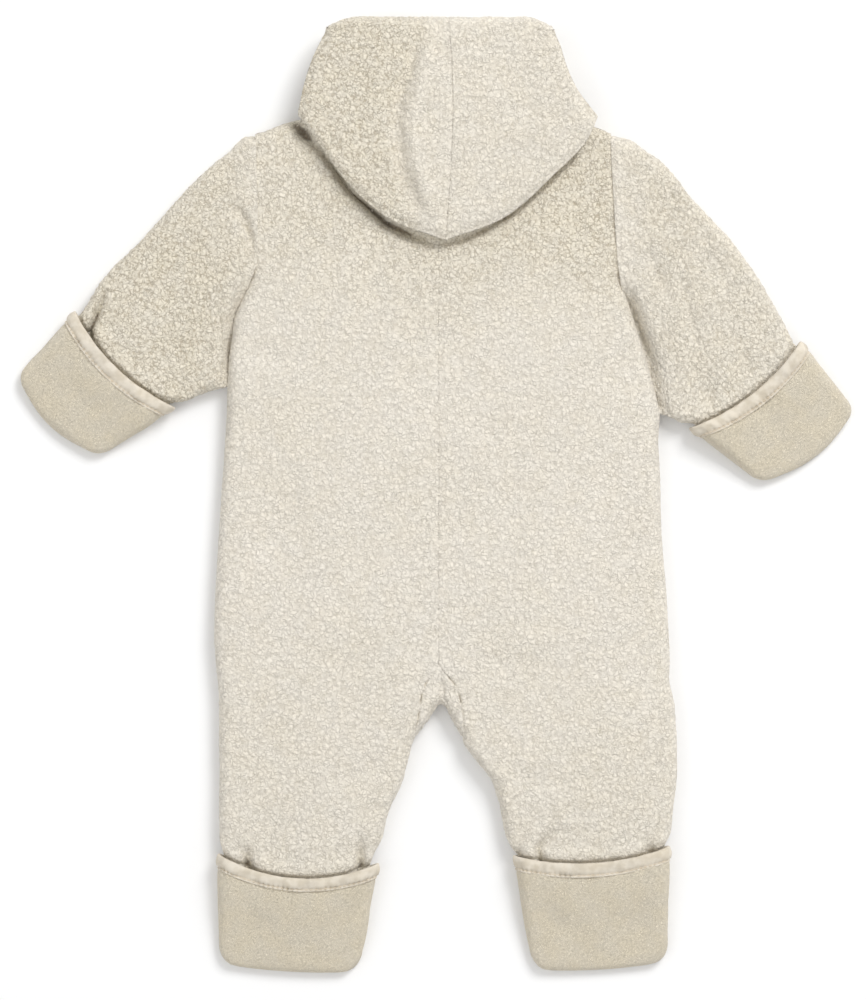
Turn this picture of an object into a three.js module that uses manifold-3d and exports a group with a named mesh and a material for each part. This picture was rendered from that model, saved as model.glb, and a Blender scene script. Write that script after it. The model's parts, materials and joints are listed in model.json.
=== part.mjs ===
// Hooded baby pramsuit in teddy fleece with fold-over mitts and booties, laid out flat on
// its front, its back up. Millimetres: +X to the right, +Y towards the hood, +Z up, and
// the surface that it lies on is z = 0. Each panel of cloth is a closed wall of its own.
import * as THREE from 'three';
import Module from 'manifold-3d';
import { mergeVertices } from 'three/addons/utils/BufferGeometryUtils.js';

const wasm = await Module();
wasm.setup();

// ---------- driving dimensions ----------
const SEAM = 0.3;            // clearance between two pieces that are sewn together
const PILE_WALL = 7.2;       // teddy fleece: curly pile, knitted ground and brushed inside
const FLEECE_WALL = 2.8;     // smooth short-haired fleece of the mitts and booties
const BINDING_WIDTH = 10;    // how much of the binding shows
const BODY_STACK = 17;       // front and back lying on each other
const SLEEVE_STACK = 16;
const TUCK_STACK = 12.2;     // sleeve or leg end squeezed inside its pocket
const TUCK_LIFT = 3.4;       // height of that end over the surface
const TUCK_DEPTH = 13;       // how far the sleeve end goes into the mitt
const TUCK_SLOPE = 26;       // stretch before the opening over which the cloth thins
const SQUEEZE = 0.44;        // most of a squeezed stack that one wall may take
const POCKET_STACK = 18.8;   // mitt or bootie at its opening
const POCKET_FLAT = 9.2;     // mitt or bootie past the cloth that is tucked into it
const POCKET_SLOPE = 19;     // stretch over which it comes down to that
const CROWN = 1.2;           // how much the back rises between centre seam and side
const CENTRE_X = 1.4;        // centre back seam, a little to the right as it lies
const NECK = { halfWidth: 62, dip: 15, dropLeft: 0, dropRight: 2 };
const HOOD = {
  wall: 6.4, fold: 10, top: 30.2, seat: 23.7, foldBase: 1.5,
  reach: 148, settle: 1.6, roundEdge: 2.4, roundFlank: 2.2,
};
const ZIP = {
  top: 240, bottom: -84, halfGap: 6.5, tapeWidth: 12, tapeThick: 1, tapeZ: 7.45,
  chainWidth: 4.6, chainThick: 3.4, chainZ: 5.15, sliderY: 226,
};

// ---------- the garment's own outline ----------
// One row for each level of a body half: the height y on the garment, then x at the centre
// seam, gusset or inseam, and x at the armhole or side seam.
const LEFT_ROWS = [
  { y: 249, inner: 1.25, outer: -123.5 }, { y: 232, inner: 1.25, outer: -123 },
  { y: 205, inner: 1.25, outer: -122.3 }, { y: 180, inner: 1.25, outer: -122 },
  { y: 160, inner: 1.25, outer: -122 }, { y: 151, inner: 1.25, outer: -125 },
  { y: 137, inner: 1.25, outer: -131.3 }, { y: 122, inner: 1.25, outer: -137.6 },
  { y: 98, inner: 1.25, outer: -140.7 }, { y: 76, inner: 1.25, outer: -142.2 },
  { y: 50, inner: 1.25, outer: -143 }, { y: 15, inner: 1.25, outer: -145.5 },
  { y: -25, inner: 1.25, outer: -148 }, { y: -65, inner: 1.25, outer: -150.3 },
  { y: -98, inner: 1.25, outer: -151.2 }, { y: -116.7, inner: 1, outer: -150 },
  { y: -125, inner: -6.8, outer: -149 }, { y: -135, inner: -10, outer: -148.4 },
  { y: -148, inner: -12, outer: -148 }, { y: -158.5, inner: -12.8, outer: -148 },
  { y: -166, inner: -16, outer: -148 }, { y: -180, inner: -19.4, outer: -148 },
  { y: -196, inner: -23.8, outer: -148 }, { y: -214, inner: -32.8, outer: -148 },
  { y: -234, inner: -37.2, outer: -147.5 }, { y: -246, inner: -43.5, outer: -143.8 },
  { y: -257, inner: -47, outer: -143.6 }, { y: -268, inner: -49.5, outer: -143.4 },
];
const RIGHT_ROWS = [
  { y: 249, inner: 1.55, outer: 118.5 }, { y: 232, inner: 1.55, outer: 119 },
  { y: 205, inner: 1.55, outer: 120.5 }, { y: 180, inner: 1.55, outer: 122 },
  { y: 158, inner: 1.55, outer: 123.5 }, { y: 143, inner: 1.55, outer: 126 },
  { y: 128, inner: 1.55, outer: 131 }, { y: 100, inner: 1.55, outer: 140.8 },
  { y: 74, inner: 1.55, outer: 148 }, { y: 57, inner: 1.55, outer: 151.8 },
  { y: 38, inner: 1.55, outer: 150.5 }, { y: 11, inner: 1.55, outer: 152 },
  { y: -25, inner: 1.55, outer: 153 }, { y: -62, inner: 1.55, outer: 156 },
  { y: -98, inner: 1.55, outer: 158.3 }, { y: -116.7, inner: 1.8, outer: 158.8 },
  { y: -121, inner: 7.4, outer: 158 }, { y: -129, inner: 13.2, outer: 159 },
  { y: -140, inner: 16.2, outer: 162 }, { y: -160.5, inner: 17.6, outer: 163.6 },
  { y: -170, inner: 18.4, outer: 163.8 }, { y: -180, inner: 26.5, outer: 163.8 },
  { y: -193, inner: 37.8, outer: 163.6 }, { y: -211, inner: 43.6, outer: 161 },
  { y: -229, inner: 46.6, outer: 159 }, { y: -239.5, inner: 50.4, outer: 153.5 },
  { y: -245, inner: 57.3, outer: 153.2 }, { y: -266, inner: 60.5, outer: 153 },
];
const ARMPIT = { left: 76, right: 57 };        // where the sleeve leaves the side
const ARMHOLE_FOLD = { left: 160, right: 158 }; // below it the body's side lies over the sleeve
const GUSSET_TIP = { left: -158.5, right: -160.5 };

// The gusset over the crotch: its seam to the backs, and the crotch edge that it folds over.
const GUSSET_ROWS = [
  { seamX: -12.3, seamY: -157.5, edgeX: -9.6, edgeY: -158.5 },
  { seamX: -11.5, seamY: -148, edgeX: -4.6, edgeY: -150.5 },
  { seamX: -9.4, seamY: -135, edgeX: -0.6, edgeY: -145 },
  { seamX: -6.1, seamY: -125.3, edgeX: 1.2, edgeY: -142.6 },
  { seamX: 1.4, seamY: -117.3, edgeX: 3, edgeY: -141.8 },
  { seamX: 6.8, seamY: -121.6, edgeX: 4.8, edgeY: -142.6 },
  { seamX: 12.6, seamY: -129.4, edgeX: 6.6, edgeY: -145 },
  { seamX: 15.6, seamY: -140.4, edgeX: 9.6, edgeY: -150.5 },
  { seamX: 16.9, seamY: -159.5, edgeX: 14.2, edgeY: -161 },
];

// Fold-over pockets. a and b are the ends of the opening, and the tip lies to the right
// (turn = 1) or to the left (turn = -1) of the way from a to b. The sleeve or leg keeps the
// pocket full as far in as filled.
const POCKETS = {
  mitt_left: {
    a: [-246, 125.5], b: [-178, 60], turn: 1, length: 62, bow: 8, tipBow: 6, filled: 15,
    taperA: 2.5, taperB: 15, corner: 11,
  },
  mitt_right: {
    a: [247.5, 105], b: [172, 46], turn: -1, length: 62, bow: 8, tipBow: 6, filled: 15,
    taperA: -1, taperB: 17, corner: 11,
  },
  bootie_left: {
    a: [-148.4, -243.5], b: [-39.8, -250], turn: 1, length: 76, bow: 13, tipBow: 1.5, filled: 27,
    taperA: 5, taperB: 9.5, corner: 14,
  },
  bootie_right: {
    a: [52.6, -244.5], b: [158, -238.3], turn: 1, length: 80, bow: 8, tipBow: 1.5, filled: 28,
    taperA: 8.5, taperB: 6, corner: 14,
  },
};

// Sleeve edges from the armhole to just before the mitt.
const SLEEVES = {
  left: {
    mitt: 'mitt_left', rows: LEFT_ROWS, armpit: ARMPIT.left, outward: -1,
    upper: [
      [-130.6, 243.9], [-141.4, 234.3], [-149.2, 227.8], [-177, 200], [-201.5, 173], [-228, 146],
    ],
    lower: [[-160, 69.5], [-170, 65]],
  },
  right: {
    mitt: 'mitt_right', rows: RIGHT_ROWS, armpit: ARMPIT.right, outward: 1,
    upper: [
      [132.5, 241.5], [144, 233.5], [152.5, 227.6], [175.5, 200.5], [200.8, 173], [219.8, 146],
      [234.5, 121],
    ],
    lower: [[158, 54], [164, 50.5]],
  },
};

// Hood laid back over the shoulders: its centre seam, and each half's fold and edges.
const HOOD_SEAM = [[8, 325], [11, 275], [9.5, 220], [6, 173]];
const HOOD_CREASE = {
  points: [[-6, 318], [-14, 292], [-22, 265], [-23, 240], [-17, 215], [-9, 198]],
  depth: 2.8, spread: 10,
};
const HOOD_HALVES = {
  left: {
    fold: [[7.85, 325], [-40, 325], [-62, 324], [-72, 319.5]],
    side: [[-72, 319.5], [-78.5, 308], [-84, 296], [-89, 281], [-94, 258.5]],
    edge: [[5.85, 173], [-33, 188], [-57, 208], [-79, 237.5], [-94, 258.5]],
  },
  right: {
    fold: [[8.15, 325], [45, 325], [66, 324], [77.5, 318.5]],
    side: [[77.5, 318.5], [83.5, 305], [88, 291], [95, 276], [109, 257]],
    edge: [[6.15, 173], [46, 188.5], [80, 218], [103, 243], [109, 257]],
  },
};

// ---------- colours ----------
const PILE = { color: 0xe4ddd0, roughness: 0.95, metalness: 0 };
const FLEECE = { color: 0xccc3b1, roughness: 0.9, metalness: 0 };
const JERSEY = { color: 0xded0bc, roughness: 0.8, metalness: 0 };
const ZIP_CLOTH = { color: 0xd8cfbd, roughness: 0.8, metalness: 0 };
const METAL = { color: 0xb9b2a4, roughness: 0.35, metalness: 1 };

// ---------- helpers ----------
const lerp = THREE.MathUtils.lerp;
const clamp = THREE.MathUtils.clamp;
const smooth = (x, from, to) => THREE.MathUtils.smoothstep(x, from, to);
const humped = (s) => 4 * s * (1 - s);

function mesh(name, geometry, look) {
  const piece = new THREE.Mesh(geometry, new THREE.MeshStandardMaterial(look));
  piece.name = name;
  return piece;
}

// Closed solid between an outer and an inner grid of points, outer[row][column]. The columns
// of a tube wrap round; a blind end closes the last row of both grids with a ladder of faces.
function wallSolid(outer, inner, { wraps = false, blindEnd = false } = {}) {
  const rows = outer.length;
  const columns = outer[0].length;
  const points = [...outer.flat(), ...inner.flat()];
  const index = [];
  const at = (grid, row, column) => grid * rows * columns + row * columns + (column % columns);
  const quad = (p, q, r, s) => index.push(p, q, r, p, r, s);
  const spans = wraps ? columns : columns - 1;
  for (let row = 0; row < rows - 1; row += 1) {
    for (let column = 0; column < spans; column += 1) {
      const [next, across] = [row + 1, column + 1];
      quad(at(0, row, column), at(0, row, across), at(0, next, across), at(0, next, column));
      quad(at(1, row, column), at(1, next, column), at(1, next, across), at(1, row, across));
    }
  }
  const rim = (row, flip) => {
    for (let column = 0; column < spans; column += 1) {
      const face = [
        at(0, row, column), at(1, row, column), at(1, row, column + 1), at(0, row, column + 1),
      ];
      quad(...(flip ? face.reverse() : face));
    }
  };
  const ladder = (grid, row, flip) => {
    const half = columns / 2;
    for (let step = 0; step < half; step += 1) {
      const face = [
        at(grid, row, step), at(grid, row, step + 1),
        at(grid, row, columns - step - 1), at(grid, row, columns - step),
      ];
      if (flip) face.reverse();
      if (step === 0 || step === half - 1) {
        const corners = [...new Set(face)];
        index.push(...corners);
      } else {
        quad(...face);
      }
    }
  };
  rim(0, false);
  if (blindEnd) {
    ladder(0, rows - 1, false);
    ladder(1, rows - 1, true);
  } else {
    rim(rows - 1, true);
  }
  if (!wraps) {
    for (let row = 0; row < rows - 1; row += 1) {
      quad(at(0, row, 0), at(0, row + 1, 0), at(1, row + 1, 0), at(1, row, 0));
      const last = columns - 1;
      quad(at(0, row, last), at(1, row, last), at(1, row + 1, last), at(0, row + 1, last));
    }
  }
  const geometry = new THREE.BufferGeometry();
  geometry.setAttribute('position', new THREE.Float32BufferAttribute(points.flat(), 3));
  geometry.setIndex(signedVolume(points, index) > 0 ? index : index.reverse());
  return geometry;
}

function signedVolume(points, index) {
  let volume = 0;
  for (let i = 0; i < index.length; i += 3) {
    const [p, q, r] = [0, 1, 2].map((k) => new THREE.Vector3(...points[index[i + k]]));
    volume += p.dot(q.cross(r));
  }
  return volume;
}

// x of a body half's inner or outer edge at any height between its rows.
function edgeAt(rows, key, y) {
  const below = rows.findIndex((row) => row.y <= y);
  if (below <= 0) return rows[below === 0 ? 0 : rows.length - 1][key];
  const [high, low] = [rows[below - 1], rows[below]];
  return lerp(high[key], low[key], (high.y - y) / (high.y - low.y));
}

// Four-sided patch in plan between two curves that run along it and two that run across it.
function patch(along0, along1, across0, across1) {
  const corners = [across0(0), across0(1), across1(0), across1(1)];
  return (s, t) => {
    const [left, right, start, end] = [along0(t), along1(t), across0(s), across1(s)];
    const [p, q, r, w] = corners;
    return [0, 1].map((k) => lerp(left[k], right[k], s) + lerp(start[k], end[k], t)
      - lerp(lerp(p[k], q[k], s), lerp(r[k], w[k], s), t));
  };
}

function throughPoints(list) {
  const curve = new THREE.SplineCurve(list.map(([x, y]) => new THREE.Vector2(x, y)));
  return (t) => curve.getPointAt(clamp(t, 0, 1)).toArray();
}

// ---------- pockets: mitts and booties ----------
function pocketFrame({ a, b, turn, length, bow, tipBow, filled, taperA, taperB, corner }) {
  const start = new THREE.Vector2(...a);
  const across = new THREE.Vector2(...b).sub(start);
  const width = across.length();
  across.normalize();
  const inward = new THREE.Vector2(across.y * turn, -across.x * turn);
  const cut = (depth) => {
    const past = Math.max(0, depth - length + corner);
    return 0.85 * (corner - Math.sqrt(corner ** 2 - past ** 2));
  };
  const from = (depth) => taperA * (depth / length) + cut(depth);
  const to = (depth) => width - taperB * (depth / length) - cut(depth);
  return {
    length,
    filled,
    width: (depth) => to(depth) - from(depth),
    point(s, depth, inset = 0) {
      const bowed = depth + humped(s) * lerp(bow, tipBow, depth / length);
      const along = lerp(from(depth) + inset, to(depth) - inset, s);
      return start.clone().addScaledVector(across, along).addScaledVector(inward, bowed).toArray();
    },
    depthAt([x, y]) {
      const local = new THREE.Vector2(x, y).sub(start);
      return local.dot(inward) - bow * humped(clamp(local.dot(across) / width, 0, 1));
    },
  };
}

const FRAMES = Object.fromEntries(
  Object.entries(POCKETS).map(([name, sizes]) => [name, pocketFrame(sizes)]),
);

// Columns round a flattened tube: where each lies from one rounded side (0) to the other (1),
// how far it stands out sideways in the round, and how high, from -1 (under) to 1 (on top).
const TUBE_COLUMNS = (() => {
  const turns = [0, 35, 65, 90];
  const flats = [0.25, 0.5, 0.75];
  const top = [
    ...turns.map((angle) => ({ side: -1, angle })),
    ...flats.map((place) => ({ side: 0, place })),
    ...turns.slice().reverse().map((angle) => ({ side: 1, angle })),
  ];
  const under = top.slice(1, -1).reverse().map((column) => ({ ...column, below: true }));
  return [...top, ...under];
})();

// One ring of a flattened tube as [across 0..1, height -1..1] for a wall offset inwards.
function tubeRing(width, radius, inset) {
  return TUBE_COLUMNS.map(({ side, angle, place, below }) => {
    const rise = side === 0 ? 1 : Math.sin(THREE.MathUtils.degToRad(angle));
    const reach = (radius - inset) * Math.cos(THREE.MathUtils.degToRad(angle ?? 0));
    const flat = width - 2 * radius;
    const offset = side === 0 ? (place - 0.5) * flat : side * (flat / 2 + reach);
    return { across: 0.5 + offset / width, rise: below ? -rise : rise };
  });
}

function pocketRing(frame, depth, stack, inset, swell = 0) {
  const radius = Math.min(stack / 2, 9);
  const width = frame.width(depth);
  return tubeRing(width, radius, inset - swell).map(({ across, rise }) => {
    const [x, y] = frame.point(across, depth);
    const half = Math.max(stack / 2 - inset, 0.5) + (rise > 0 ? swell : 0);
    return [x, y, stack / 2 + half * rise];
  });
}

function pocketStack(frame, depth) {
  const closing = Math.max(0, (depth - frame.length + 9) / 9);
  const past = smooth(depth, frame.filled, frame.filled + POCKET_SLOPE);
  const body = lerp(POCKET_STACK, POCKET_FLAT, past);
  return lerp(3.6, body, Math.sqrt(1 - closing ** 2));
}

function pocket(name) {
  const frame = FRAMES[name];
  const slope = [0, 0.35, 0.65, 1].map((part) => frame.filled + part * POCKET_SLOPE);
  const depths = [BINDING_WIDTH + SEAM, ...slope];
  const closing = [9, 4, 1, 0].map((left) => frame.length - left);
  const levels = [...depths, ...closing];
  const outer = levels.map((depth) => pocketRing(frame, depth, pocketStack(frame, depth), 0));
  const inner = levels.map((depth, row) => {
    const share = Math.max(0, row - depths.length + 1) / closing.length;
    const inside = depth - (FLEECE_WALL + 0.2) * share;
    return pocketRing(frame, inside, pocketStack(frame, depth), FLEECE_WALL);
  });
  return mesh(name, wallSolid(outer, inner, { wraps: true, blindEnd: true }), FLEECE);
}

function binding(name) {
  const frame = FRAMES[name];
  const rows = [
    { depth: 0, swell: 0 }, { depth: 2.5, swell: 0.7 }, { depth: 7, swell: 0.8 },
    { depth: BINDING_WIDTH, swell: 0 },
  ];
  const outer = rows.map(({ depth, swell }) => pocketRing(frame, depth, POCKET_STACK, 0, swell));
  const inner = rows.map(({ depth }) => pocketRing(frame, depth, POCKET_STACK, FLEECE_WALL));
  const label = name.replace('_', '_binding_');
  return mesh(label, wallSolid(outer, inner, { wraps: true }), JERSEY);
}

// How thick the sleeve or leg is at a place, and how far off the surface, by how near it is
// to the opening of the pocket that it is tucked into.
function tucked(place, pocketName, stack) {
  const near = smooth(FRAMES[pocketName].depthAt(place), -TUCK_SLOPE, -4);
  return { stack: lerp(stack, TUCK_STACK, near), lift: TUCK_LIFT * near };
}

// ---------- body halves ----------
// Columns of a strip from its inner to its outer edge: a turn of three steps at each edge.
const STRIP_COLUMNS = [
  { end: 'inner', step: 0 }, { end: 'inner', step: 1 / 3 }, { end: 'inner', step: 2 / 3 },
  { end: 'inner', step: 1 }, { place: 0.2 }, { place: 0.42 }, { place: 0.7 },
  { end: 'outer', step: 1 },
  { end: 'outer', step: 2 / 3 }, { end: 'outer', step: 1 / 3 }, { end: 'outer', step: 0 },
];

// Distance in from the edge and height (0..1) of one column. curl 1 rolls the edge down to
// half height, and curl 0 leaves it square for a seam.
function stripColumn(column, width, radius, inset, curl) {
  if (column.place !== undefined) {
    return { across: lerp(radius, width - radius, column.place), fall: inset };
  }
  const angle = column.step * Math.PI / 2;
  const amount = curl[column.end];
  const inwards = lerp(radius * column.step, radius - (radius - inset) * Math.cos(angle), amount);
  const fall = lerp(inset, radius - (radius - inset) * Math.sin(angle), amount);
  return { across: column.end === 'inner' ? inwards : width - inwards, fall };
}

// The neck is scooped at the centre and the shoulder falls away to its tip.
function neckShift(x, y) {
  const reach = Math.abs(x - CENTRE_X);
  const drop = x < CENTRE_X ? NECK.dropLeft : NECK.dropRight;
  const scoop = reach < NECK.halfWidth
    ? NECK.dip * (reach / NECK.halfWidth) ** 2
    : NECK.dip - (NECK.dip + drop) * (reach - NECK.halfWidth) / NECK.halfWidth;
  return scoop * smooth(y, 205, 249);
}

function bodyStrip(name, rows, side, isBack) {
  const bootie = `bootie_${side}`;
  const grid = (inset) => rows.map(({ y, inner, outer }) => {
    const opened = !isBack && y >= ZIP.bottom - 8;
    const centre = opened ? inner + Math.sign(outer) * (ZIP.halfGap - SEAM / 2) : inner;
    const width = Math.abs(outer - centre);
    const direction = Math.sign(outer - centre);
    const curl = {
      inner: y < GUSSET_TIP[side] - 1 ? 1 : 0,
      outer: 1 - smooth(y, ARMHOLE_FOLD[side] - 24, ARMHOLE_FOLD[side]),
    };
    return STRIP_COLUMNS.map((column) => {
      const guess = tucked([(centre + outer) / 2, y], bootie, BODY_STACK);
      const half = guess.stack / 2 - SEAM / 2;
      const wall = Math.min(PILE_WALL, SQUEEZE * guess.stack);
      const { across } = stripColumn(column, width, half, inset * wall, curl);
      const x = centre + direction * across;
      const { stack, lift } = tucked([x, y], bootie, BODY_STACK);
      const radius = stack / 2 - SEAM / 2;
      const thick = Math.min(PILE_WALL, SQUEEZE * stack);
      const { fall } = stripColumn(column, width, radius, inset * thick, curl);
      const crown = isBack ? crownAt(across / width, y) * (1 - fall / stack) : 0;
      const z = isBack ? lift + stack - fall + crown : lift + fall;
      return [x, y + neckShift(x, y), z];
    });
  });
  return mesh(name, wallSolid(grid(0), grid(1)), PILE);
}

function crownAt(s, y) {
  const fade = (1 - smooth(y, 110, 175)) * smooth(y, -235, -200);
  return CROWN * Math.sin(Math.PI * clamp(s, 0, 1)) * fade;
}

// Strip folded over the crotch edge, from its seam with the backs to that with the fronts.
function gusset() {
  const radius = BODY_STACK / 2;
  const grid = (inset) => GUSSET_ROWS.map(({ seamX, seamY, edgeX, edgeY }) => {
    const reach = Math.hypot(edgeX - seamX, edgeY - seamY);
    const turn = Math.min(radius, reach * 0.9);
    const innerTurn = Math.max(turn - inset * PILE_WALL, turn * (1 - 0.85 * inset));
    const high = radius - inset * PILE_WALL;
    const spots = [[0, 1]];
    for (const angle of [90, 60, 30, 0, -30, -60, -90]) {
      const radians = THREE.MathUtils.degToRad(angle);
      spots.push([reach - turn + innerTurn * Math.cos(radians), Math.sin(radians)]);
    }
    spots.push([0, -1]);
    return spots.map(([along, rise]) => [
      lerp(seamX, edgeX, along / reach), lerp(seamY, edgeY, along / reach), radius + high * rise,
    ]);
  });
  return mesh('crotch_gusset', wallSolid(grid(0), grid(1)), PILE);
}

// ---------- sleeves ----------
function sleeve(side) {
  const { mitt, rows, armpit, outward, upper, lower } = SLEEVES[side];
  const frame = FRAMES[mitt];
  const shoulder = rows[0].y;
  const armhole = (s) => {
    const y = lerp(shoulder - 2, armpit - 1, s);
    const folded = 1 - smooth(y, ARMHOLE_FOLD[side] - 30, ARMHOLE_FOLD[side]);
    const x = edgeAt(rows, 'outer', y) + outward * (SEAM + 0.6 * folded);
    return [x, y + neckShift(x, y)];
  };
  const cuff = (s) => frame.point(s, TUCK_DEPTH, FLEECE_WALL + 0.7);
  const upperEdge = throughPoints([armhole(0), ...upper, frame.point(0, 0, 4.2), cuff(0)]);
  const lowerEdge = throughPoints([armhole(1), ...lower, frame.point(1, 0, 4.2), cuff(1)]);
  const plan = patch(upperEdge, lowerEdge, armhole, cuff);
  const steps = [0, 0.08, 0.2, 0.34, 0.48, 0.62, 0.74, 0.84, 0.92, 1];
  const grid = (inset) => steps.map((t) => {
    const [top, bottom] = [plan(0, t), plan(1, t)];
    const width = Math.hypot(bottom[0] - top[0], bottom[1] - top[1]);
    const middle = tucked(plan(0.5, t), mitt, SLEEVE_STACK);
    const radius = middle.stack / 2;
    const wall = Math.min(PILE_WALL, SQUEEZE * middle.stack);
    return tubeRing(width, radius, inset * wall).map(({ across, rise }) => {
      const [x, y] = plan(clamp(across, 0, 1), t);
      const { stack, lift } = tucked([x, y], mitt, SLEEVE_STACK);
      const thick = Math.min(PILE_WALL, SQUEEZE * stack);
      return [x, y, lift + stack / 2 + (stack / 2 - inset * thick) * rise];
    });
  });
  return mesh(`sleeve_${side}`, wallSolid(grid(0), grid(1), { wraps: true }), PILE);
}

// ---------- hood ----------
// Upper layer of a hood half: from the foot of the fold, round it, and down to the edge.
function hoodHalf(side) {
  const { fold, side: flank, edge } = HOOD_HALVES[side];
  const seamShift = side === 'left' ? -SEAM / 2 : SEAM / 2;
  const seam = throughPoints(HOOD_SEAM.map(([x, y]) => [x + seamShift, y]));
  const plan = patch(seam, throughPoints(flank), throughPoints(fold), throughPoints(edge));
  const middle = (HOOD.top + HOOD.foldBase) / 2;
  const high = HOOD.top - middle;
  const bend = [-90, -60, -30, 0, 30, 60, 90].map((degrees) => {
    const angle = THREE.MathUtils.degToRad(degrees);
    const row = (inset) => ({
      down: inset + (HOOD.fold - inset) * (1 - Math.cos(angle)),
      z: middle + (high - inset) * Math.sin(angle),
    });
    return { outer: row(0), inner: row(HOOD.wall) };
  });
  const lie = [24, 45, 70, 95, 118, 134, 143, HOOD.reach].map((down) => {
    const sink = HOOD.settle * smooth(down, 60, HOOD.reach);
    const round = HOOD.roundEdge * smooth(down, HOOD.reach - 12, HOOD.reach);
    return {
      outer: { down, z: HOOD.top - sink - round },
      inner: { down, z: HOOD.seat - sink + round * 0.8 },
    };
  });
  const columns = [0, 0.12, 0.24, 0.36, 0.55, 0.75, 0.9, 0.96, 1];
  const grid = (layer) => [...bend, ...lie].map((row) => columns.map((s) => {
    const { down, z } = row[layer];
    const [x, y] = plan(s, down / HOOD.reach);
    const round = HOOD.roundFlank * smooth(s, 0.88, 1) * smooth(down, 4, 20);
    const crease = hoodCrease(x, y) * smooth(down, 4, 30);
    return [x, y, layer === 'outer' ? z - round - crease : z + round * 0.8];
  }));
  return mesh(`hood_${side}`, wallSolid(grid('outer'), grid('inner')), PILE);
}

// How much the hood sinks in the soft crease beside its centre seam.
function hoodCrease(x, y) {
  const curve = throughPoints(HOOD_CREASE.points);
  const spots = Array.from({ length: 25 }, (_, step) => curve(step / 24));
  const away = Math.min(...spots.map(([px, py]) => Math.hypot(x - px, y - py)));
  return HOOD_CREASE.depth * Math.exp(-((away / HOOD_CREASE.spread) ** 2));
}

// Pillow-like solid between a bottom and a top height over rows of x from one side to the
// other, each row at its own y or along its own curve, with rounded sides.
function layer(name, rows, top, bottom, plan) {
  const turns = [0, 0.15, 0.4, 1];
  const columns = [
    ...turns.map((step) => ({ place: 0, step })), { place: 0.25, step: 1 }, { place: 0.5, step: 1 },
    { place: 0.75, step: 1 }, ...turns.slice().reverse().map((step) => ({ place: 1, step })),
  ];
  const thick = top - bottom;
  const round = thick * 0.42;
  const grid = (upper) => rows.map((row) => columns.map(({ place, step }) => {
    const inwards = { 0: round * step, 1: -round * step }[place] ?? 0;
    const rise = Math.sqrt(1 - (1 - step) ** 2) * row.full;
    const [x, y] = plan(row, place, inwards);
    const half = 0.8 + (thick / 2 - 0.8) * rise;
    return [x, y, (top + bottom) / 2 + (upper ? half : -half)];
  }));
  return mesh(name, wallSolid(grid(true), grid(false)), PILE);
}

// The hood's standing part between the neck seam and the fold: hidden, one rounded solid.
function hoodNeck() {
  const neckline = (x) => 249 + neckShift(x, 249) + SEAM + 0.55;
  const rows = [
    { up: 0, left: -60, right: 63, full: 1 }, { up: 0.2, left: -74, right: 80, full: 1 },
    { up: 0.5, left: -78, right: 84, full: 1 }, { up: 0.82, left: -74, right: 77, full: 1 },
    { up: 1, left: -66, right: 69, full: 0.7 },
  ];
  const highest = HOOD_SEAM[0][1] - HOOD.fold - 0.6;
  return layer('hood_neck', rows, BODY_STACK + SEAM / 2, 0, (row, place, shift) => {
    const x = lerp(row.left, row.right, place) + shift;
    return [x, lerp(neckline(x), highest, row.up)];
  });
}

// The underneath layer of the part that is laid back, a little smaller than the upper one.
function hoodUnder() {
  const rows = [
    { y: 313, left: -66, right: 69, full: 0.7 }, { y: 303, left: -74, right: 76, full: 1 },
    { y: 283, left: -80, right: 86, full: 1 }, { y: 262, left: -80, right: 98, full: 1 },
    { y: 240, left: -69, right: 93, full: 1 }, { y: 213, left: -48, right: 68, full: 1 },
    { y: 192, left: -22, right: 40, full: 1 }, { y: 184, left: -12, right: 24, full: 0.6 },
  ];
  return layer('hood_under', rows, HOOD.seat - 2.1, BODY_STACK + SEAM * 2, (row, place, shift) => [
    lerp(row.left, row.right, place) + shift, row.y,
  ]);
}

// ---------- zip on the centre front ----------
function roundedBar(width, thick, length, corner) {
  const shape = new THREE.Shape();
  const [w, t] = [width / 2 - corner, thick / 2];
  shape.moveTo(-w, -t);
  shape.lineTo(w, -t);
  shape.quadraticCurveTo(w + corner, -t, w + corner, 0);
  shape.quadraticCurveTo(w + corner, t, w, t);
  shape.lineTo(-w, t);
  shape.quadraticCurveTo(-w - corner, t, -w - corner, 0);
  shape.quadraticCurveTo(-w - corner, -t, -w, -t);
  return new THREE.ExtrudeGeometry(shape, { depth: length, bevelEnabled: false, curveSegments: 3 });
}

// A bar whose section is in x and z, lying along y and centred on the zip.
function alongZip(name, geometry, x, z, look) {
  const piece = mesh(name, geometry, look);
  piece.rotation.x = Math.PI / 2;
  piece.position.set(x, ZIP.top, z);
  return piece;
}

function asManifold(geometry) {
  const bare = geometry.clone();
  bare.deleteAttribute('normal');
  bare.deleteAttribute('uv');
  const merged = mergeVertices(bare, 1e-4);
  return new wasm.Manifold(new wasm.Mesh({
    numProp: 3,
    vertProperties: new Float32Array(merged.attributes.position.array),
    triVerts: new Uint32Array(merged.index.array),
  }));
}

function fromManifold(solid) {
  const { vertProperties, triVerts } = solid.getMesh();
  const geometry = new THREE.BufferGeometry();
  geometry.setAttribute('position', new THREE.BufferAttribute(vertProperties, 3));
  geometry.setIndex(new THREE.BufferAttribute(triVerts, 1));
  return geometry;
}

const SLIDER = {
  halfWidth: 4.4, halfLength: 6.2, plateZ: 2.9, plateThick: 1.9,
  archWidth: 1.8, archInside: 2.2, archOutside: 3.1, archHollow: 1.9, archThick: 0.8,
};
const PULL = {
  axisZ: SLIDER.plateZ - SLIDER.archHollow / 2,
  thick: 1.2, bar: 0.6, window: 4.3, halfWidth: 3.2, length: 24,
};

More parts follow.
